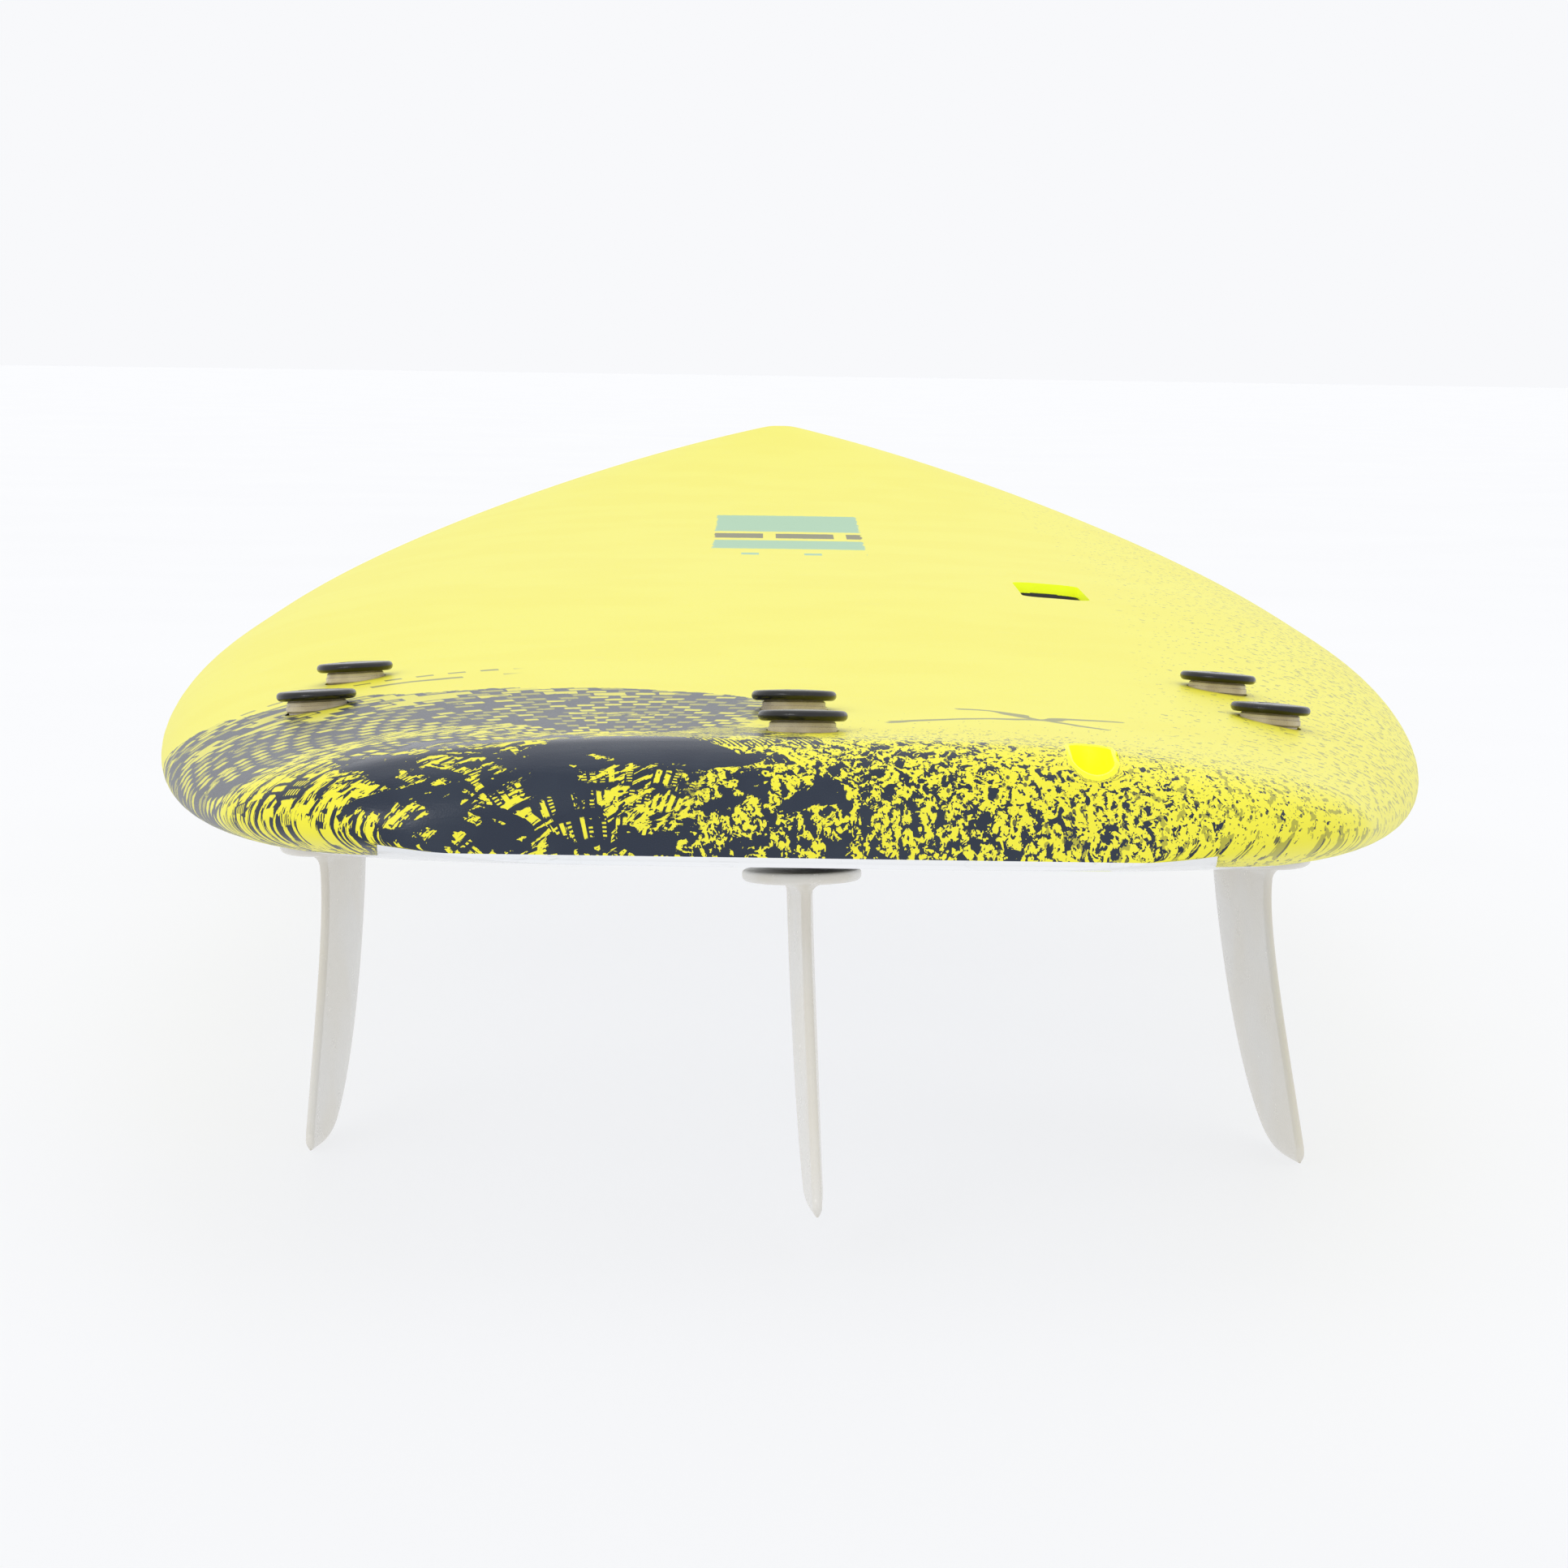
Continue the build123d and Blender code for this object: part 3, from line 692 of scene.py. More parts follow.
def deck_foam_finish(ink):
    """Closed-cell foam with a slick film: lemon yellow, printed in dark ink, with a painted glow on the handle
    pocket's walls.
    """
    made = Finish("deck_foam_print", ink.foam, 0.36, IOR=1.45)
    tree = made.tree
    attribute = tree.nodes.new("ShaderNodeAttribute")
    attribute.attribute_name = "wrap"
    wrap = attribute.outputs["Vector"]
    printed = use_group(tree, print_group(), wrap)
    label = use_group(tree, label_group(), wrap)
    grain = use_group(tree, grain_group(), made.where, Fine=1500.0, Slow=16.0)
    scuffs = use_group(tree, scuff_group(), made.where, Amount=0.5)
    deep = tuple(c * k for c, k in zip(ink.foam, (0.985, 0.965, 0.55)))
    foam = made.mix(grain["Patch"] * 0.6, tuple(ink.foam), deep)
    foam = made.mix(scuffs["Rubbed"] * 0.10, foam, (0.80, 0.76, 0.30))
    foam = made.mix(label["Band"] * 0.78, foam, tuple(ink.label))
    foam = made.mix(label["Stripe"] * 0.85, foam, (0.030, 0.035, 0.045))
    film = made.mix(noise(tree, made.where, 30, 3, 0.6).step(0.45, 0.65) * 0.5, tuple(ink.ink),
                    (0.022, 0.034, 0.055))
    # painted glow: the handle pocket's upright walls get a brighter, deeper yellow and emit light, standing in for
    # the light and bounce that reach them
    glow_mask_node = tree.nodes.new("ShaderNodeAttribute")
    glow_mask_node.attribute_name = "pocket_glow_mask"
    painted_glow_wall = Field(tree, glow_mask_node.outputs["Fac"])
    inked = made.mix(printed["Ink"], foam, film)
    made.colour(made.mix(painted_glow_wall, inked, (0.80, 0.92, 0.015)))
    made.shader.inputs["Emission Color"].default_value = (0.80, 0.92, 0.015, 1)
    tree.links.new((painted_glow_wall * 0.45).socket, made.shader.inputs["Emission Strength"])
    rough = printed["Ink"] * -0.05 + 0.37 + grain["Mask"] * 0.04 - printed["Solid"] * 0.08
    made.rough(rough + scuffs["Scuff"] * 0.08)
    crinkle = noise(tree, made.where, 210, 2, 0.6, (0.5, 1.0, 2.2), 0.8)
    height = grain["Height"] * 0.5 + crinkle * printed["Solid"] * 0.5 + printed["Ink"] * 0.10
    made.bump(height, 0.00028, 0.6)
    return made.material


def slick_sheet_finish():
    """Glossy white plastic sheet with long sanding hairlines and sand scuffs."""
    made = Finish("slick_sheet_white", (0.86, 0.87, 0.88), 0.2, IOR=1.5)
    tree = made.tree
    grain = use_group(tree, grain_group(), made.where, Fine=700.0, Slow=9.0)
    scuffs = use_group(tree, scuff_group(), made.where, Amount=1.0)
    base = made.mix(grain["Patch"], (0.86, 0.87, 0.88), (0.83, 0.85, 0.865))
    made.colour(made.mix(scuffs["Scuff"] * 0.5, base, (0.62, 0.63, 0.62)))
    made.rough(scuffs["Rubbed"] * 0.18 + 0.17 + scuffs["Scuff"] * 0.25)
    made.bump(grain["Height"] + scuffs["Scuff"] * -0.2, 0.0004, 0.4)
    return made.material


def fin_finish(ink):
    """Ivory moulded nylon-like plastic: faint flow waves, satin gloss, rubbed edges."""
    made = Finish("fin_ivory_plastic", ink.fin, 0.24, IOR=1.48)
    tree = made.tree
    grain = use_group(tree, grain_group(), made.where, Fine=1300.0, Slow=26.0)
    scuffs = use_group(tree, scuff_group(), made.where, Amount=0.3)
    warm = tuple(c * k for c, k in zip(ink.fin, (0.985, 0.965, 0.92)))
    base = made.mix(grain["Patch"], tuple(ink.fin), warm)
    made.colour(made.mix(scuffs["Scuff"] * 0.35, base, (0.52, 0.50, 0.46)))
    made.rough(grain["Mask"] * 0.05 + 0.22 + scuffs["Rubbed"] * 0.14)
    made.bump(grain["Height"], 0.0005, 0.45)
    return made.material


def black_plastic_finish(name, rough, amount):
    """Black moulded plastic with a fine pebble and grey rubbed spots."""
    made = Finish(name, (0.004, 0.004, 0.0045), rough, IOR=1.5)
    tree = made.tree
    grain = use_group(tree, grain_group(), made.where, Fine=2600.0, Slow=240.0)
    scuffs = use_group(tree, scuff_group(), made.where, Amount=amount)
    base = made.mix(grain["Patch"], (0.003, 0.003, 0.0034), (0.006, 0.006, 0.006))
    made.colour(made.mix(scuffs["Rubbed"] * 0.4, base, (0.03, 0.029, 0.028)))
    made.rough(grain["Mask"] * 0.06 + rough + scuffs["Rubbed"] * 0.2)
    made.bump(grain["Height"], 0.0003, 0.5)
    return made.material


def nylon_finish():
    """Natural nylon: warm, waxy, with turning rings."""
    made = Finish("natural_nylon", (0.62, 0.54, 0.38), 0.3, IOR=1.53)
    tree = made.tree
    grain = use_group(tree, grain_group(), made.where, Fine=2200.0, Slow=120.0)
    scuffs = use_group(tree, scuff_group(), made.where, Amount=0.7)
    base = made.mix(grain["Patch"], (0.66, 0.58, 0.42), (0.50, 0.42, 0.28))
    made.colour(made.mix(scuffs["Rubbed"] * 0.4, base, (0.36, 0.31, 0.22)))
    made.rough(grain["Mask"] * 0.08 + 0.26)
    made.bump(grain["Height"], 0.0003, 0.4)
    return made.material


def yellow_plastic_finish(ink):
    """Bright yellow lining of the leash slot, with a painted glow that stands in for the light reaching it."""
    # painted glow: the lining emits its own yellow light in place of the light that reaches it in the slot
    made = Finish("leash_lining_yellow", (0.86, 0.90, 0.02), 0.34, IOR=1.5, Emission_Strength=0.3)
    made.shader.inputs["Emission Color"].default_value = (0.80, 0.90, 0.02, 1)
    tree = made.tree
    grain = use_group(tree, grain_group(), made.where, Fine=2000.0, Slow=150.0)
    scuffs = use_group(tree, scuff_group(), made.where, Amount=0.6)
    base = made.mix(grain["Patch"], (0.86, 0.90, 0.020), (0.80, 0.82, 0.015))
    made.colour(made.mix(scuffs["Rubbed"] * 0.3, base, (0.58, 0.56, 0.05)))
    made.rough(grain["Mask"] * 0.08 + 0.32)
    made.bump(grain["Height"], 0.0003, 0.4)
    return made.material


def bead_foam_finish():
    """White expanded bead foam: pressed round cells with darker joints."""
    made = Finish("bead_foam_white", (0.86, 0.86, 0.85), 0.85)
    tree = made.tree
    edge = cells(tree, made.where, 260, "DISTANCE_TO_EDGE")
    grain = use_group(tree, grain_group(), made.where, Fine=1800.0, Slow=60.0)
    base = made.mix(grain["Patch"], (0.87, 0.87, 0.86), (0.82, 0.82, 0.80))
    made.colour(made.mix(edge.step(0.10, 0.0), base, (0.66, 0.66, 0.64)))
    made.rough(grain["Mask"] * 0.08 + 0.8)
    made.bump(edge.step(0.0, 0.3) + grain["Height"] * 0.2, 0.0008, 0.7)
    return made.material


def stringer_finish():
    """Pine strip: growth lines along the board."""
    made = Finish("stringer_pine", (0.60, 0.40, 0.20), 0.6)
    tree = made.tree
    grain = use_group(tree, grain_group(), made.where, Fine=1200.0, Slow=30.0)
    lines = noise(tree, made.where, 60, 4, 0.6, (6.0, 0.35, 6.0), 0.6)
    base = made.mix(lines.step(0.35, 0.65), (0.64, 0.44, 0.23), (0.42, 0.25, 0.11))
    made.colour(made.mix(grain["Patch"] * 0.4, base, (0.55, 0.37, 0.19)))
    made.rough(lines * 0.2 + 0.5)
    made.bump(lines + grain["Height"] * 0.2, 0.0004, 0.5)
    return made.material


def floor_finish():
    made = Finish("studio_floor", (0.16, 0.161, 0.163), 0.6, Emission_Strength=0.735)
    made.shader.inputs["Emission Color"].default_value = (0.94, 0.947, 0.965, 1)
    made.rough(noise(made.tree, made.where, 3, 2, 0.5) * 0.1 + 0.55)
    return made.material


FINISHES = {}


def finish(name):
    """One of the board's finishes, made the first time it is asked for."""
    ink = bpy.context.scene.surfboard_ink
    makers = {
        "deck_foam": lambda: deck_foam_finish(ink),
        "slick_sheet": slick_sheet_finish,
        "fin_plastic": lambda: fin_finish(ink),
        "screw_plastic": lambda: black_plastic_finish("screw_gloss_black", 0.16, 0.6),
        "handle_plastic": lambda: black_plastic_finish("handle_black", 0.36, 0.9),
        "nylon": nylon_finish,
        "yellow_plastic": lambda: yellow_plastic_finish(ink),
        "core_foam": bead_foam_finish,
        "stringer_wood": stringer_finish,
    }
    if name not in FINISHES:
        FINISHES[name] = makers[name]()
    return FINISHES[name]


def finished(thing, slot, body, *nodes):
    """Gives a piece its finish, its body and the frame nodes that it stands for."""
    thing.data.materials.clear()
    thing.data.materials.append(finish(slot))
    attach(thing, body)
    if nodes:
        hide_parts(*nodes)
    return thing


# ---------------------------------------------------------------- board pieces
def sheet_cutter(size):
    """Block under the board's middle whose upright walls are the bottom sheet's outline."""
    places = np.concatenate([[0.020, 0.030, 0.045], np.linspace(0.060, size.length - 0.12, 110),
                             np.linspace(size.length - 0.11, size.length - 0.030, 14)])
    inset = np.minimum(half_width(places, size) - SHEET_INSET,
                       TAIL_SHEET + 0.0005 + np.clip(places - 0.015, 0, 1) * 2)
    right = [(TAIL_SHEET, -0.005)] + [(float(w), float(y)) for w, y in zip(inset, places)]
    tops = []
    for _, y in right:
        middle = float(bottom_z(max(y, 0), size) + thickness(max(y, 0.0), size) / 2)
        share = min(max((y - 0.004) / 0.03, 0), 1)
        tops.append(float(bottom_z(0.0, size) + TAIL_LIP) * (1 - share) + middle * share)
    count = len(right)
    verts = []
    for (x, y), top in zip(right, tops):
        verts += [(x, y, -0.05), (-x, y, -0.05), (-x, y, top), (x, y, top)]
    faces = [(0, 1, 2, 3), tuple(4 * count - k for k in (1, 2, 3, 4))]
    for i in range(count - 1):
        a, b = 4 * i, 4 * (i + 1)
        for k in range(4):
            n = (k + 1) % 4
            faces.append((a + k, b + k, b + n, a + n))
    return closed_mesh("sheet_cutter", np.array(verts) + np.array([0, TAIL_Y, FLAT_Z]), faces)


def plan_block(name, place, outline):
    low, high = FLAT_Z - 0.05, FLAT_Z + 0.2
    shifted = [(place[0] + x, place[1] + y + TAIL_Y) for x, y in outline]
    return prism(name, shifted, low, high)


def wrap_attribute(thing, size):
    """Unrolled place of every vertex: across and along the skin, and its share of the half width."""
    mesh = thing.data
    count = len(mesh.vertices)
    co = np.empty(count * 3)
    no = np.empty(count * 3)
    mesh.vertices.foreach_get("co", co)
    mesh.vertices.foreach_get("normal", no)
    co, no = co.reshape(-1, 3), no.reshape(-1, 3)
    y = co[:, 1] - TAIL_Y
    drop = np.clip(crown_z(np.clip(y, 0, size.length), size) - (co[:, 2] - FLAT_Z), 0, None)
    flat = np.linalg.norm(no[:, :2], axis=1) + 1e-6
    wrap = np.stack([
        co[:, 0] + drop * no[:, 0] / flat,
        y + drop * no[:, 1] / flat,
        co[:, 0] / np.maximum(half_width(np.clip(y, 0, size.length), size), 0.004)], 1)
    layer = mesh.attributes.new("wrap", "FLOAT_VECTOR", "POINT")
    layer.data.foreach_set("vector", wrap.ravel())


def pocket_glow_attribute(thing):
    """Mark the upright walls cut through the skin at the handle pocket, which the deck finish paints brighter and
    makes glow in place of the light that reaches them.
    """
    mesh = thing.data
    centre = np.empty(len(mesh.polygons) * 3)
    facing = np.empty(len(mesh.polygons) * 3)
    mesh.polygons.foreach_get("center", centre)
    mesh.polygons.foreach_get("normal", facing)
    centre, facing = centre.reshape(-1, 3), facing.reshape(-1, 3)
    reach = np.abs(centre[:, :2] - np.array([HANDLE_PLACE[0], HANDLE_PLACE[1] + TAIL_Y]))
    inside = (reach < np.array(HANDLE_SIZE) / 2 + 0.0005).all(axis=1)
    layer = mesh.attributes.new("pocket_glow_mask", "FLOAT", "FACE")
    layer.data.foreach_set("value", (inside & (np.abs(facing[:, 2]) < 0.3)).astype(float))


class SURF_OT_skins(bpy.types.Operator):
    """Build the printed foam skin and the slick bottom sheet"""
    bl_idname = "surf.skins"
    bl_label = "Skins"

    def execute(self, context):
        size = context.scene.surfboard_board
        outer = hull_mesh(size, "deck_foam_skin")
        core = hull_mesh(size, "core_shape", inner=True)
        tool = sheet_cutter(size)
        sheet = new_object("bottom_slick_sheet", outer.data.copy())
        cut(sheet, tool, "INTERSECT", keep_tool=True)
        cut(sheet, core, keep_tool=True)
        handle = rounded_outline(HANDLE_SIZE, HANDLE_CORNER)
        leash = rounded_outline(LEASH_SIZE, LEASH_SIZE[0] / 2 - 1e-5, 10)
        cut(sheet, plan_block("leash_cut", LEASH_PLACE, leash))
        cut(outer, tool)
        cut(outer, core)
        cut(outer, plan_block("handle_cut", HANDLE_PLACE, handle))
        lined = tuple(side + 2 * LEASH_WALL for side in LEASH_SIZE)
        cut(outer, plan_block("leash_cut", LEASH_PLACE, rounded_outline(lined, lined[0] / 2 - 1e-5, 10)))
        for side in SIDES:
            for end in ENDS:
                seat, axis = screw_axis(side, end)
                profile = [(0, -0.02), (COLLAR_HOLE, -0.02), (COLLAR_HOLE, 0.01), (0, 0.01)]
                hole = lathe("collar_cut", profile, 48)
                turn = Vector((0, 0, 1)).rotation_difference(axis).to_matrix().to_4x4()
                cut(outer, placed(hole, Matrix.Translation(seat) @ turn))
        for thing in (outer, sheet):
            smooth(thing, 38)
        wrap_attribute(outer, size)
        pocket_glow_attribute(outer)
        finished(outer, "deck_foam", "board", "deck_skin")
        finished(sheet, "slick_sheet", "board", "bottom_skin")
        return {"FINISHED"}


# ---------------------------------------------------------------- fins
FIN_SWEEP, FIN_SWEEP_POWERS = 0.115, (1.3, 0.46)
FIN_RAKE, FIN_HOLLOW, FIN_HOLLOW_POWER = 0.032, 0.022, 0.5
FIN_TIP_THICK, FIN_TIP_START, TIP_CLOSING, TIP_BACK = 0.0058, 0.94, 0.85, 0.3
FLANGE_LONG, FLANGE_WIDE, FLANGE_THICK, FLANGE_ROOT = 0.128, 0.0385, 0.0036, 0.0018


def blade_section(chord, front, thick, edge, flare, depth, steps):
    """Closed foil section: rounded front, rounded blunt back, grown outward by the root fillet."""
    shares = (1 - np.cos(np.linspace(0, math.pi, steps))) / 2
    curve = 5 * (0.2969 * np.sqrt(shares) - 0.126 * shares - 0.3516 * shares ** 2
                 + 0.2843 * shares ** 3 - 0.1015 * shares ** 4)
    half = curve * (thick - edge * shares) + edge * shares / 2
    x, y = front - shares * chord, half
    back = [(front - chord + edge * 0.5 * (1 - math.sin(a)) - edge * 0.5, edge / 2 * math.cos(a))
            for a in np.linspace(0, math.pi, 9)[1:-1]]
    loop = [(a, b) for a, b in zip(x, y)] + back + [(a, -b) for a, b in zip(x[::-1], y[::-1])][:-1]
    loop = np.array(loop)
    after, before = np.roll(loop, -1, 0), np.roll(loop, 1, 0)
    run = after - before
    outward = np.stack([run[:, 1], -run[:, 0]], 1)
    outward /= np.linalg.norm(outward, axis=1)[:, None] + 1e-12
    centre = loop.mean(0)
    if ((loop - centre) * outward).sum() < 0:
        outward = -outward
    loop = loop + outward * flare
    return [(a, b, -depth) for a, b in loop]


def fin_object(size, name):
    """One fin in its own frame: blade with a root fillet, and an oval flange with a soft rim."""
    rows = []
    shares = np.concatenate([np.linspace(0, 0.10, 12)[:-1], np.linspace(0.10, 0.88, 26)[:-1],
                             1 - 0.12 * (1 - np.linspace(0, 1, 20)) ** 1.9])
    for part in shares:
        depth = FLANGE_ROOT + part * (size.depth - FLANGE_ROOT)
        bend, fall = FIN_SWEEP_POWERS
        front = size.chord / 2 - FIN_SWEEP * (1 - max(1 - part ** bend, 0) ** fall)
        back = -size.chord / 2 - FIN_RAKE * part
        back += FIN_HOLLOW * math.sin(math.pi * min(part, 1.0) ** FIN_HOLLOW_POWER)
        thick = FIN_TIP_THICK + (size.thick - FIN_TIP_THICK) * (1 - part ** 3)
        into_tip = max(part - FIN_TIP_START, 0.0) / (1 - FIN_TIP_START)
        left = math.sqrt(1 - TIP_CLOSING * into_tip ** 2)
        back += (front - back) * (1 - left) * TIP_BACK
        thick *= left * (0.4 + 0.6 * math.sqrt(max(1 - into_tip ** 8, 0)))
        below = max(depth - FLANGE_THICK, 0.0)
        inside = max(size.fillet - below, 0.0) / size.fillet
        flare = size.fillet * (1 - math.sqrt(1 - min(inside, 1.0) ** 2))
        rows.append(blade_section(front - back, front, thick, min(size.edge, 0.6 * thick), flare,
                                  depth, 30))
    wide = len(rows[0])
    verts = [v for row in rows for v in row]
    faces = []
    for i in range(len(rows) - 1):
        for j in range(wide):
            k = (j + 1) % wide
            faces.append((i * wide + j, i * wide + k, (i + 1) * wide + k, (i + 1) * wide + j))
    faces.append(tuple(range(wide)))
    faces.append(tuple(range(len(verts) - 1, len(verts) - wide - 1, -1)))
    blade = closed_mesh(name, verts, faces)
    rim = 0.0011
    profile = arc(1 - rim / FLANGE_WIDE * 2, -rim, rim, 90, 0, 5)
    profile = [(0.0, 0.0)] + [(1 - 2 * rim / FLANGE_WIDE * (1 - math.sin(a)), -rim * (1 - math.cos(a)))
                              for a in np.linspace(0, math.pi / 2, 6)]
    profile += [(1 - 2 * rim * 1.6 / FLANGE_WIDE * (1 - math.cos(a)),
                 -FLANGE_THICK + rim * 1.6 * (1 - math.sin(a))) for a in np.linspace(0, math.pi / 2, 7)]
    profile += [(0.0, -FLANGE_THICK)]
    flange = lathe("flange", profile, 128)
    flange.data.transform(Matrix.Diagonal((FLANGE_LONG / 2, FLANGE_WIDE / 2, 1, 1)))
    cut(blade, flange, "UNION")
    return blade


class SURF_OT_fins(bpy.types.Operator):
    """Build the three moulded fins"""
    bl_idname = "surf.fins"
    bl_label = "Fins"

    def execute(self, context):
        size = context.scene.surfboard_fin
        master = fin_object(size, "fin_shape")
        for side in SIDES:
            fin = new_object(f"moulded_fin_{side}", master.data.copy())
            placed(fin, fin_matrix(side, size.depth))
            smooth(fin, 42)
            finished(fin, "fin_plastic", "board", "fin_" + side)
        discard(master)
        return {"FINISHED"}


# ---------------------------------------------------------------- fasteners
def screw_master(size):
    """Screw: low crowned head with a full round rim and a coin slot, on a plain shank."""
    top, edge = size.head_height, size.head_radius
    rim = top * 0.42
    crown = [(0.0, top), (edge * 0.3, top - 0.00006), (edge * 0.6, top - 0.00024)]
    crown.append((edge - rim - 0.0004, top - 0.00046))
    middle = top - 0.0005 - rim
    round_rim = [(edge - rim + rim * math.sin(a), middle + rim * math.cos(a))
                 for a in np.linspace(0.12, math.pi / 2, 9)]
    round_rim += [(edge - middle + middle * math.sin(a), middle + middle * math.cos(a))
                  for a in np.linspace(math.pi / 2, math.pi, 9)[1:]]
    shank = [(0.00492, 0.0), (0.00492, -0.0322), (0.0042, -0.0336), (0.0, -0.0336)]
    head = lathe("screw_shape", crown + round_rim + shank, 96)
    slot = bmesh.new()
    bmesh.ops.create_cone(slot, cap_ends=True, segments=64, radius1=0.0135, radius2=0.0135,
                          depth=size.slot_width)
    turn = Matrix.Rotation(math.pi / 2, 4, "X")
    bmesh.ops.transform(slot, matrix=Matrix.Translation((0, 0, top + 0.0117)) @ turn, verts=slot.verts)
    mesh = bpy.data.meshes.new("coin_slot")
    slot.to_mesh(mesh)
    slot.free()
    cut(head, new_object("coin_slot", mesh))
    return smooth(head, 40)


def collar_master(low, high):
    """Turned nylon collar with soft edges, hollow for the shank; its top is at Z = 0."""
    outer, bore, soft = 0.0110, 0.0052, 0.0006
    length = high - low
    loop = [(outer - soft, -length), (outer, -length + soft), (outer, -length * 0.45),
            (outer - 0.0004, -length * 0.42), (outer - 0.0004, -soft), (outer - 0.0004 - soft, 0.0),
            (bore + soft, 0.0), (bore, -soft), (bore, -length + soft), (bore + soft, -length)]
    steps, verts, faces = 80, [], []
    for k in range(steps):
        a = 2 * math.pi * k / steps
        verts += [(r * math.cos(a), r * math.sin(a), z) for r, z in loop]
    for k in range(steps):
        for j in range(len(loop)):
            n = (j + 1) % len(loop)
            here, there = k * len(loop), (k + 1) % steps * len(loop)
            faces.append((here + j, there + j, there + n, here + n))
    return smooth(closed_mesh("collar_shape", verts, faces), 35)


def fastener_tree():
    """Stands one turned shape on a seat, along an axis, turned by an angle."""
    tree = bpy.data.node_groups.new("fastener_on_axis", "GeometryNodeTree")
    for label, kind in (("Shape", "NodeSocketObject"), ("Seat", VECTOR), ("Axis", VECTOR),
                        ("Turn", NUMBER), ("Finish", "NodeSocketMaterial")):
        tree.interface.new_socket(name=label, in_out="INPUT", socket_type=kind)
    tree.interface.new_socket(name="Geometry", in_out="OUTPUT", socket_type="NodeSocketGeometry")
    new, link = tree.nodes.new, tree.links.new
    source, sink = new("NodeGroupInput"), new("NodeGroupOutput")
    point = new("GeometryNodePoints")
    shape = new("GeometryNodeObjectInfo")
    align = new("FunctionNodeAlignRotationToVector")
    align.axis = "Z"
    spin = new("FunctionNodeAxisAngleToRotation")
    spin.inputs["Axis"].default_value = (0, 0, 1)
    turn = new("FunctionNodeRotateRotation")
    turn.rotation_space = "LOCAL"
    stand, real, dress = (new("GeometryNodeInstanceOnPoints"), new("GeometryNodeRealizeInstances"),
                          new("GeometryNodeSetMaterial"))
    link(source.outputs["Seat"], point.inputs["Position"])
    link(source.outputs["Shape"], shape.inputs["Object"])
    link(source.outputs["Axis"], align.inputs["Vector"])
    link(source.outputs["Turn"], spin.inputs["Angle"])
    link(align.outputs[0], turn.inputs["Rotation"])
    link(spin.outputs[0], turn.inputs["Rotate By"])
    link(point.outputs[0], stand.inputs["Points"])
    link(shape.outputs["Geometry"], stand.inputs["Instance"])
    link(turn.outputs[0], stand.inputs["Rotation"])
    link(stand.outputs[0], real.inputs[0])
    link(real.outputs[0], dress.inputs["Geometry"])
    link(source.outputs["Finish"], dress.inputs["Material"])
    link(dress.outputs[0], sink.inputs[0])
    return tree


def stand_fastener(tree, name, master, seat, axis, angle, slot, body, node):
    host = new_object(name, bpy.data.meshes.new(name))
    step = host.modifiers.new("fastener", "NODES")
    step.node_group = tree
    values = {"Shape": master, "Seat": tuple(seat), "Axis": tuple(axis), "Turn": angle,
              "Finish": finish(slot)}
    for item in tree.interface.items_tree:
        if item.in_out == "INPUT":
            step[item.identifier] = values[item.name]
    applied(host)
    if not len(host.data.polygons):
        raise RuntimeError(f"{name}: the fastener tree made nothing")
    return finished(host, slot, body, node)


class SURF_OT_fasteners(bpy.types.Operator):
    """Build the six coin-slot screws and their nylon collars"""
    bl_idname = "surf.fasteners"
    bl_label = "Fasteners"

    def execute(self, context):
        size = context.scene.surfboard_fastener
        tree = fastener_tree()
        screw = screw_master(size)
        draw = random.Random(5)
        for side in SIDES:
            for end in ENDS:
                name = f"{side}_{end}"
                seat, axis = screw_axis(side, end)
                node = frame["nodes"]["collar_" + name]
                heights = [v.co.dot(axis) - seat.dot(axis) for v in node.data.vertices]
                collar = collar_master(min(heights), max(heights))
                top = seat + axis * max(heights)
                stand_fastener(tree, "nylon_collar_" + name, collar, top, axis, 0.0,
                               "nylon", "collar_" + name, "collar_" + name)
                angle = draw.uniform(-0.5, 0.5) * size.turn_spread
                stand_fastener(tree, "coin_screw_" + name, screw, seat, axis, angle,
                               "screw_plastic", "screw_" + name, "screw_" + name)
                discard(collar)
        discard(screw)
        return {"FINISHED"}


# ---------------------------------------------------------------- hidden and carried-over pieces
def deck_z(x, y, size):
    """Height of the deck over a place in plan, measured from the flat of the bottom."""
    full = float(thickness(y, size))
    apex = RAIL_APEX * full
    across, up = DECK_POWERS
    share = min(abs(x) / float(half_width(y, size)), 1.0)
    return float(bottom_z(y, size)) + apex + (full - apex) * (1 - share ** across) ** (1 / up)


def leash_lining(size):
    """Moulded tube through the board, standing a little proud of the deck with a soft lip."""
    middle = LEASH_WALL / 2
    rings = []
    for grow, proud in ((0.0, None), (0.0, 0.0), (0.0004, LEASH_PROUD), (middle, LEASH_PROUD + 0.0003),
                        (LEASH_WALL - 0.0004, LEASH_PROUD), (LEASH_WALL, 0.0), (LEASH_WALL, None)):
        wide = (LEASH_SIZE[0] + 2 * grow, LEASH_SIZE[1] + 2 * grow)
        ring = []
        for dx, dy in rounded_outline(wide, wide[0] / 2 - 1e-5, 10):
            x, y = LEASH_PLACE[0] + dx, LEASH_PLACE[1] + dy
            top = deck_z(x, y, size) + (proud or 0.0)
            low = float(bottom_z(y, size)) + size.sheet
            ring.append((x, y + TAIL_Y, FLAT_Z + (low if proud is None else top)))
        rings.append(ring)
    count = len(rings[0])
    faces = []
    for i in range(len(rings)):
        j = (i + 1) % len(rings)
        for k in range(count):
            n = (k + 1) % count
            faces.append((i * count + k, i * count + n, j * count + n, j * count + k))
    return smooth(closed_mesh("leash_lining", [v for ring in rings for v in ring], faces), 50)


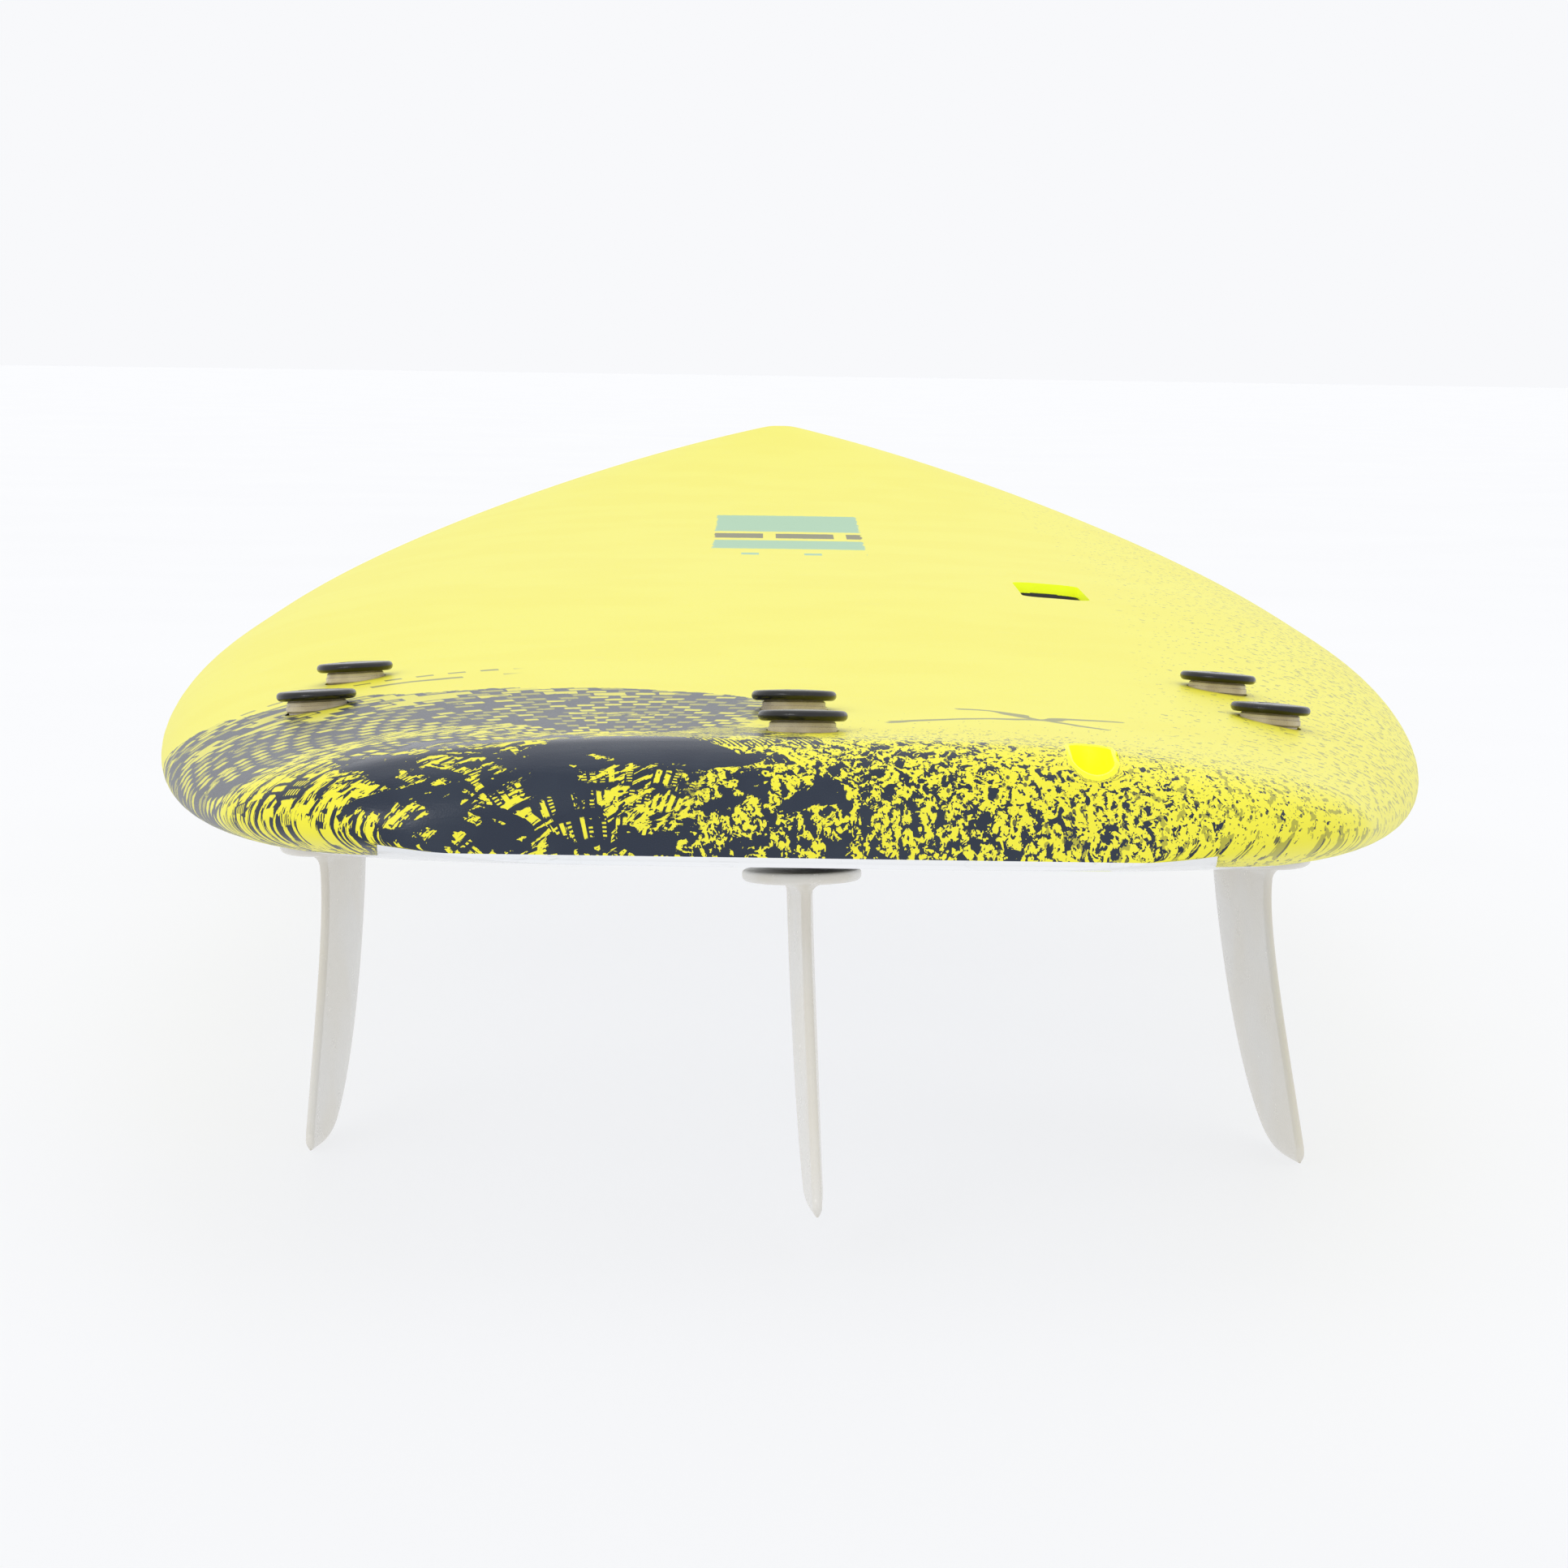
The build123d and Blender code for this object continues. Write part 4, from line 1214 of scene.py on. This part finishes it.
class SURF_OT_inside(bpy.types.Operator):
    """Finish the core, stringers, sleeves, handle cup and leash lining"""
    bl_idname = "surf.inside"
    bl_label = "Inside pieces"

    def execute(self, context):
        for entry in frame["record"]["subparts"]:
            node = frame["nodes"][entry["node"]]
            if node.hide_render:
                continue
            if entry["node"] == "leash_tube":
                finished(leash_lining(context.scene.surfboard_board), "yellow_plastic", "board", "leash_tube")
                continue
            if entry["node"] == "handle_cup":
                copy = new_object(entry["node"] + "_moulded", node.data.copy())
                kit = bmesh.new()
                kit.from_mesh(copy.data)
                bmesh.ops.remove_doubles(kit, verts=kit.verts, dist=1e-6)
                kit.to_mesh(copy.data)
                kit.free()
                smooth(copy, 35)
                finished(copy, entry["material_slot"], "board", entry["node"])
                continue
            for slot in node.material_slots:
                slot.material = finish(entry["material_slot"])
        return {"FINISHED"}


# ---------------------------------------------------------------- stage
CAMERA_PLACE = (-0.0122, -1.3475, 0.1902)       # from the tail's end, on the flat of the bottom
CAMERA_YAW, CAMERA_PITCH, CAMERA_ROLL = 0.33, 5.71, 0.84
CAMERA_LENS = 102.9


def soft_light(name, place, target, size, power, colour=(1, 1, 1)):
    data = bpy.data.lights.new(name, "AREA")
    data.shape = "RECTANGLE"
    data.size, data.size_y = size
    data.energy = power
    data.color = colour
    lamp = bpy.data.objects.new(name, data)
    lamp.location = place
    lamp.rotation_euler = (Vector(target) - Vector(place)).to_track_quat("-Z", "Y").to_euler()
    bpy.context.scene.collection.objects.link(lamp)


class SURF_OT_stage(bpy.types.Operator):
    """Set the pale floor, the soft lights and the camera"""
    bl_idname = "surf.stage"
    bl_label = "Studio"

    def execute(self, context):
        scene = context.scene
        scene.view_settings.view_transform = "Standard"
        world = bpy.data.worlds.new("studio_air")
        scene.world = world
        world.use_nodes = True
        air = world.node_tree.nodes["Background"]
        air.inputs["Color"].default_value = (0.94, 0.945, 0.965, 1)
        air.inputs["Strength"].default_value = 1.0
        floor = lathe("floor", [(0.0, -0.01), (30.0, -0.01), (30.0, 0.0), (0.0, 0.0)], 64)
        floor.data.materials.append(floor_finish())
        soft_light("top_softbox", (0.3, 0.2, 2.6), (0, -0.1, 0.1), (2.4, 3.2), 12)
        soft_light("tail_softbox", (-1.3, -2.6, 1.2), (0, -0.8, 0.1), (1.0, 0.7), 7)
        data = bpy.data.cameras.new("camera")
        data.lens = CAMERA_LENS
        camera = bpy.data.objects.new("camera", data)
        scene.collection.objects.link(camera)
        yaw, pitch, roll = (math.radians(a) for a in (CAMERA_YAW, CAMERA_PITCH, CAMERA_ROLL))
        right = Vector((math.cos(yaw), -math.sin(yaw), 0))
        ahead = Vector((math.sin(yaw) * math.cos(pitch), math.cos(yaw) * math.cos(pitch), -math.sin(pitch)))
        up = right.cross(ahead)
        level, tall = right * math.cos(roll) + up * math.sin(roll), up * math.cos(roll) - right * math.sin(roll)
        turn = Matrix((level, tall, -ahead)).transposed().to_4x4()
        place = Vector(CAMERA_PLACE) + Vector((0, TAIL_Y, FLAT_Z))
        camera.matrix_world = Matrix.Translation(place) @ turn
        scene.camera = camera
        return {"FINISHED"}


# ---------------------------------------------------------------- panel and registration
STEPS = (SURF_OT_stage, SURF_OT_skins, SURF_OT_fins, SURF_OT_fasteners, SURF_OT_inside)
GROUPS = (("surfboard_board", BoardSizes), ("surfboard_fin", FinSizes),
          ("surfboard_fastener", FastenerSizes), ("surfboard_ink", InkColours))


class SURF_PT_panel(bpy.types.Panel):
    """Sizes, colours and build steps of the surfboard"""
    bl_idname = "SURF_PT_panel"
    bl_label = "Surfboard"
    bl_space_type = "VIEW_3D"
    bl_region_type = "UI"
    bl_category = "Surfboard"

    def draw(self, context):
        for name, kind in GROUPS:
            box = self.layout.box()
            for label in kind.__annotations__:
                box.prop(getattr(context.scene, name), label)
        for step in STEPS:
            self.layout.operator(step.bl_idname)


def register():
    for name, kind in GROUPS:
        bpy.utils.register_class(kind)
        setattr(bpy.types.Scene, name, bpy.props.PointerProperty(type=kind))
    for step in STEPS:
        bpy.utils.register_class(step)
    bpy.utils.register_class(SURF_PT_panel)


def unregister():
    bpy.utils.unregister_class(SURF_PT_panel)
    for step in reversed(STEPS):
        bpy.utils.unregister_class(step)
    for name, kind in reversed(GROUPS):
        delattr(bpy.types.Scene, name)
        bpy.utils.unregister_class(kind)


def main():
    register()
    bpy.ops.surf.stage()
    bpy.ops.surf.skins()
    bpy.ops.surf.fins()
    bpy.ops.surf.fasteners()
    bpy.ops.surf.inside()


if __name__ == "__main__":
    main()
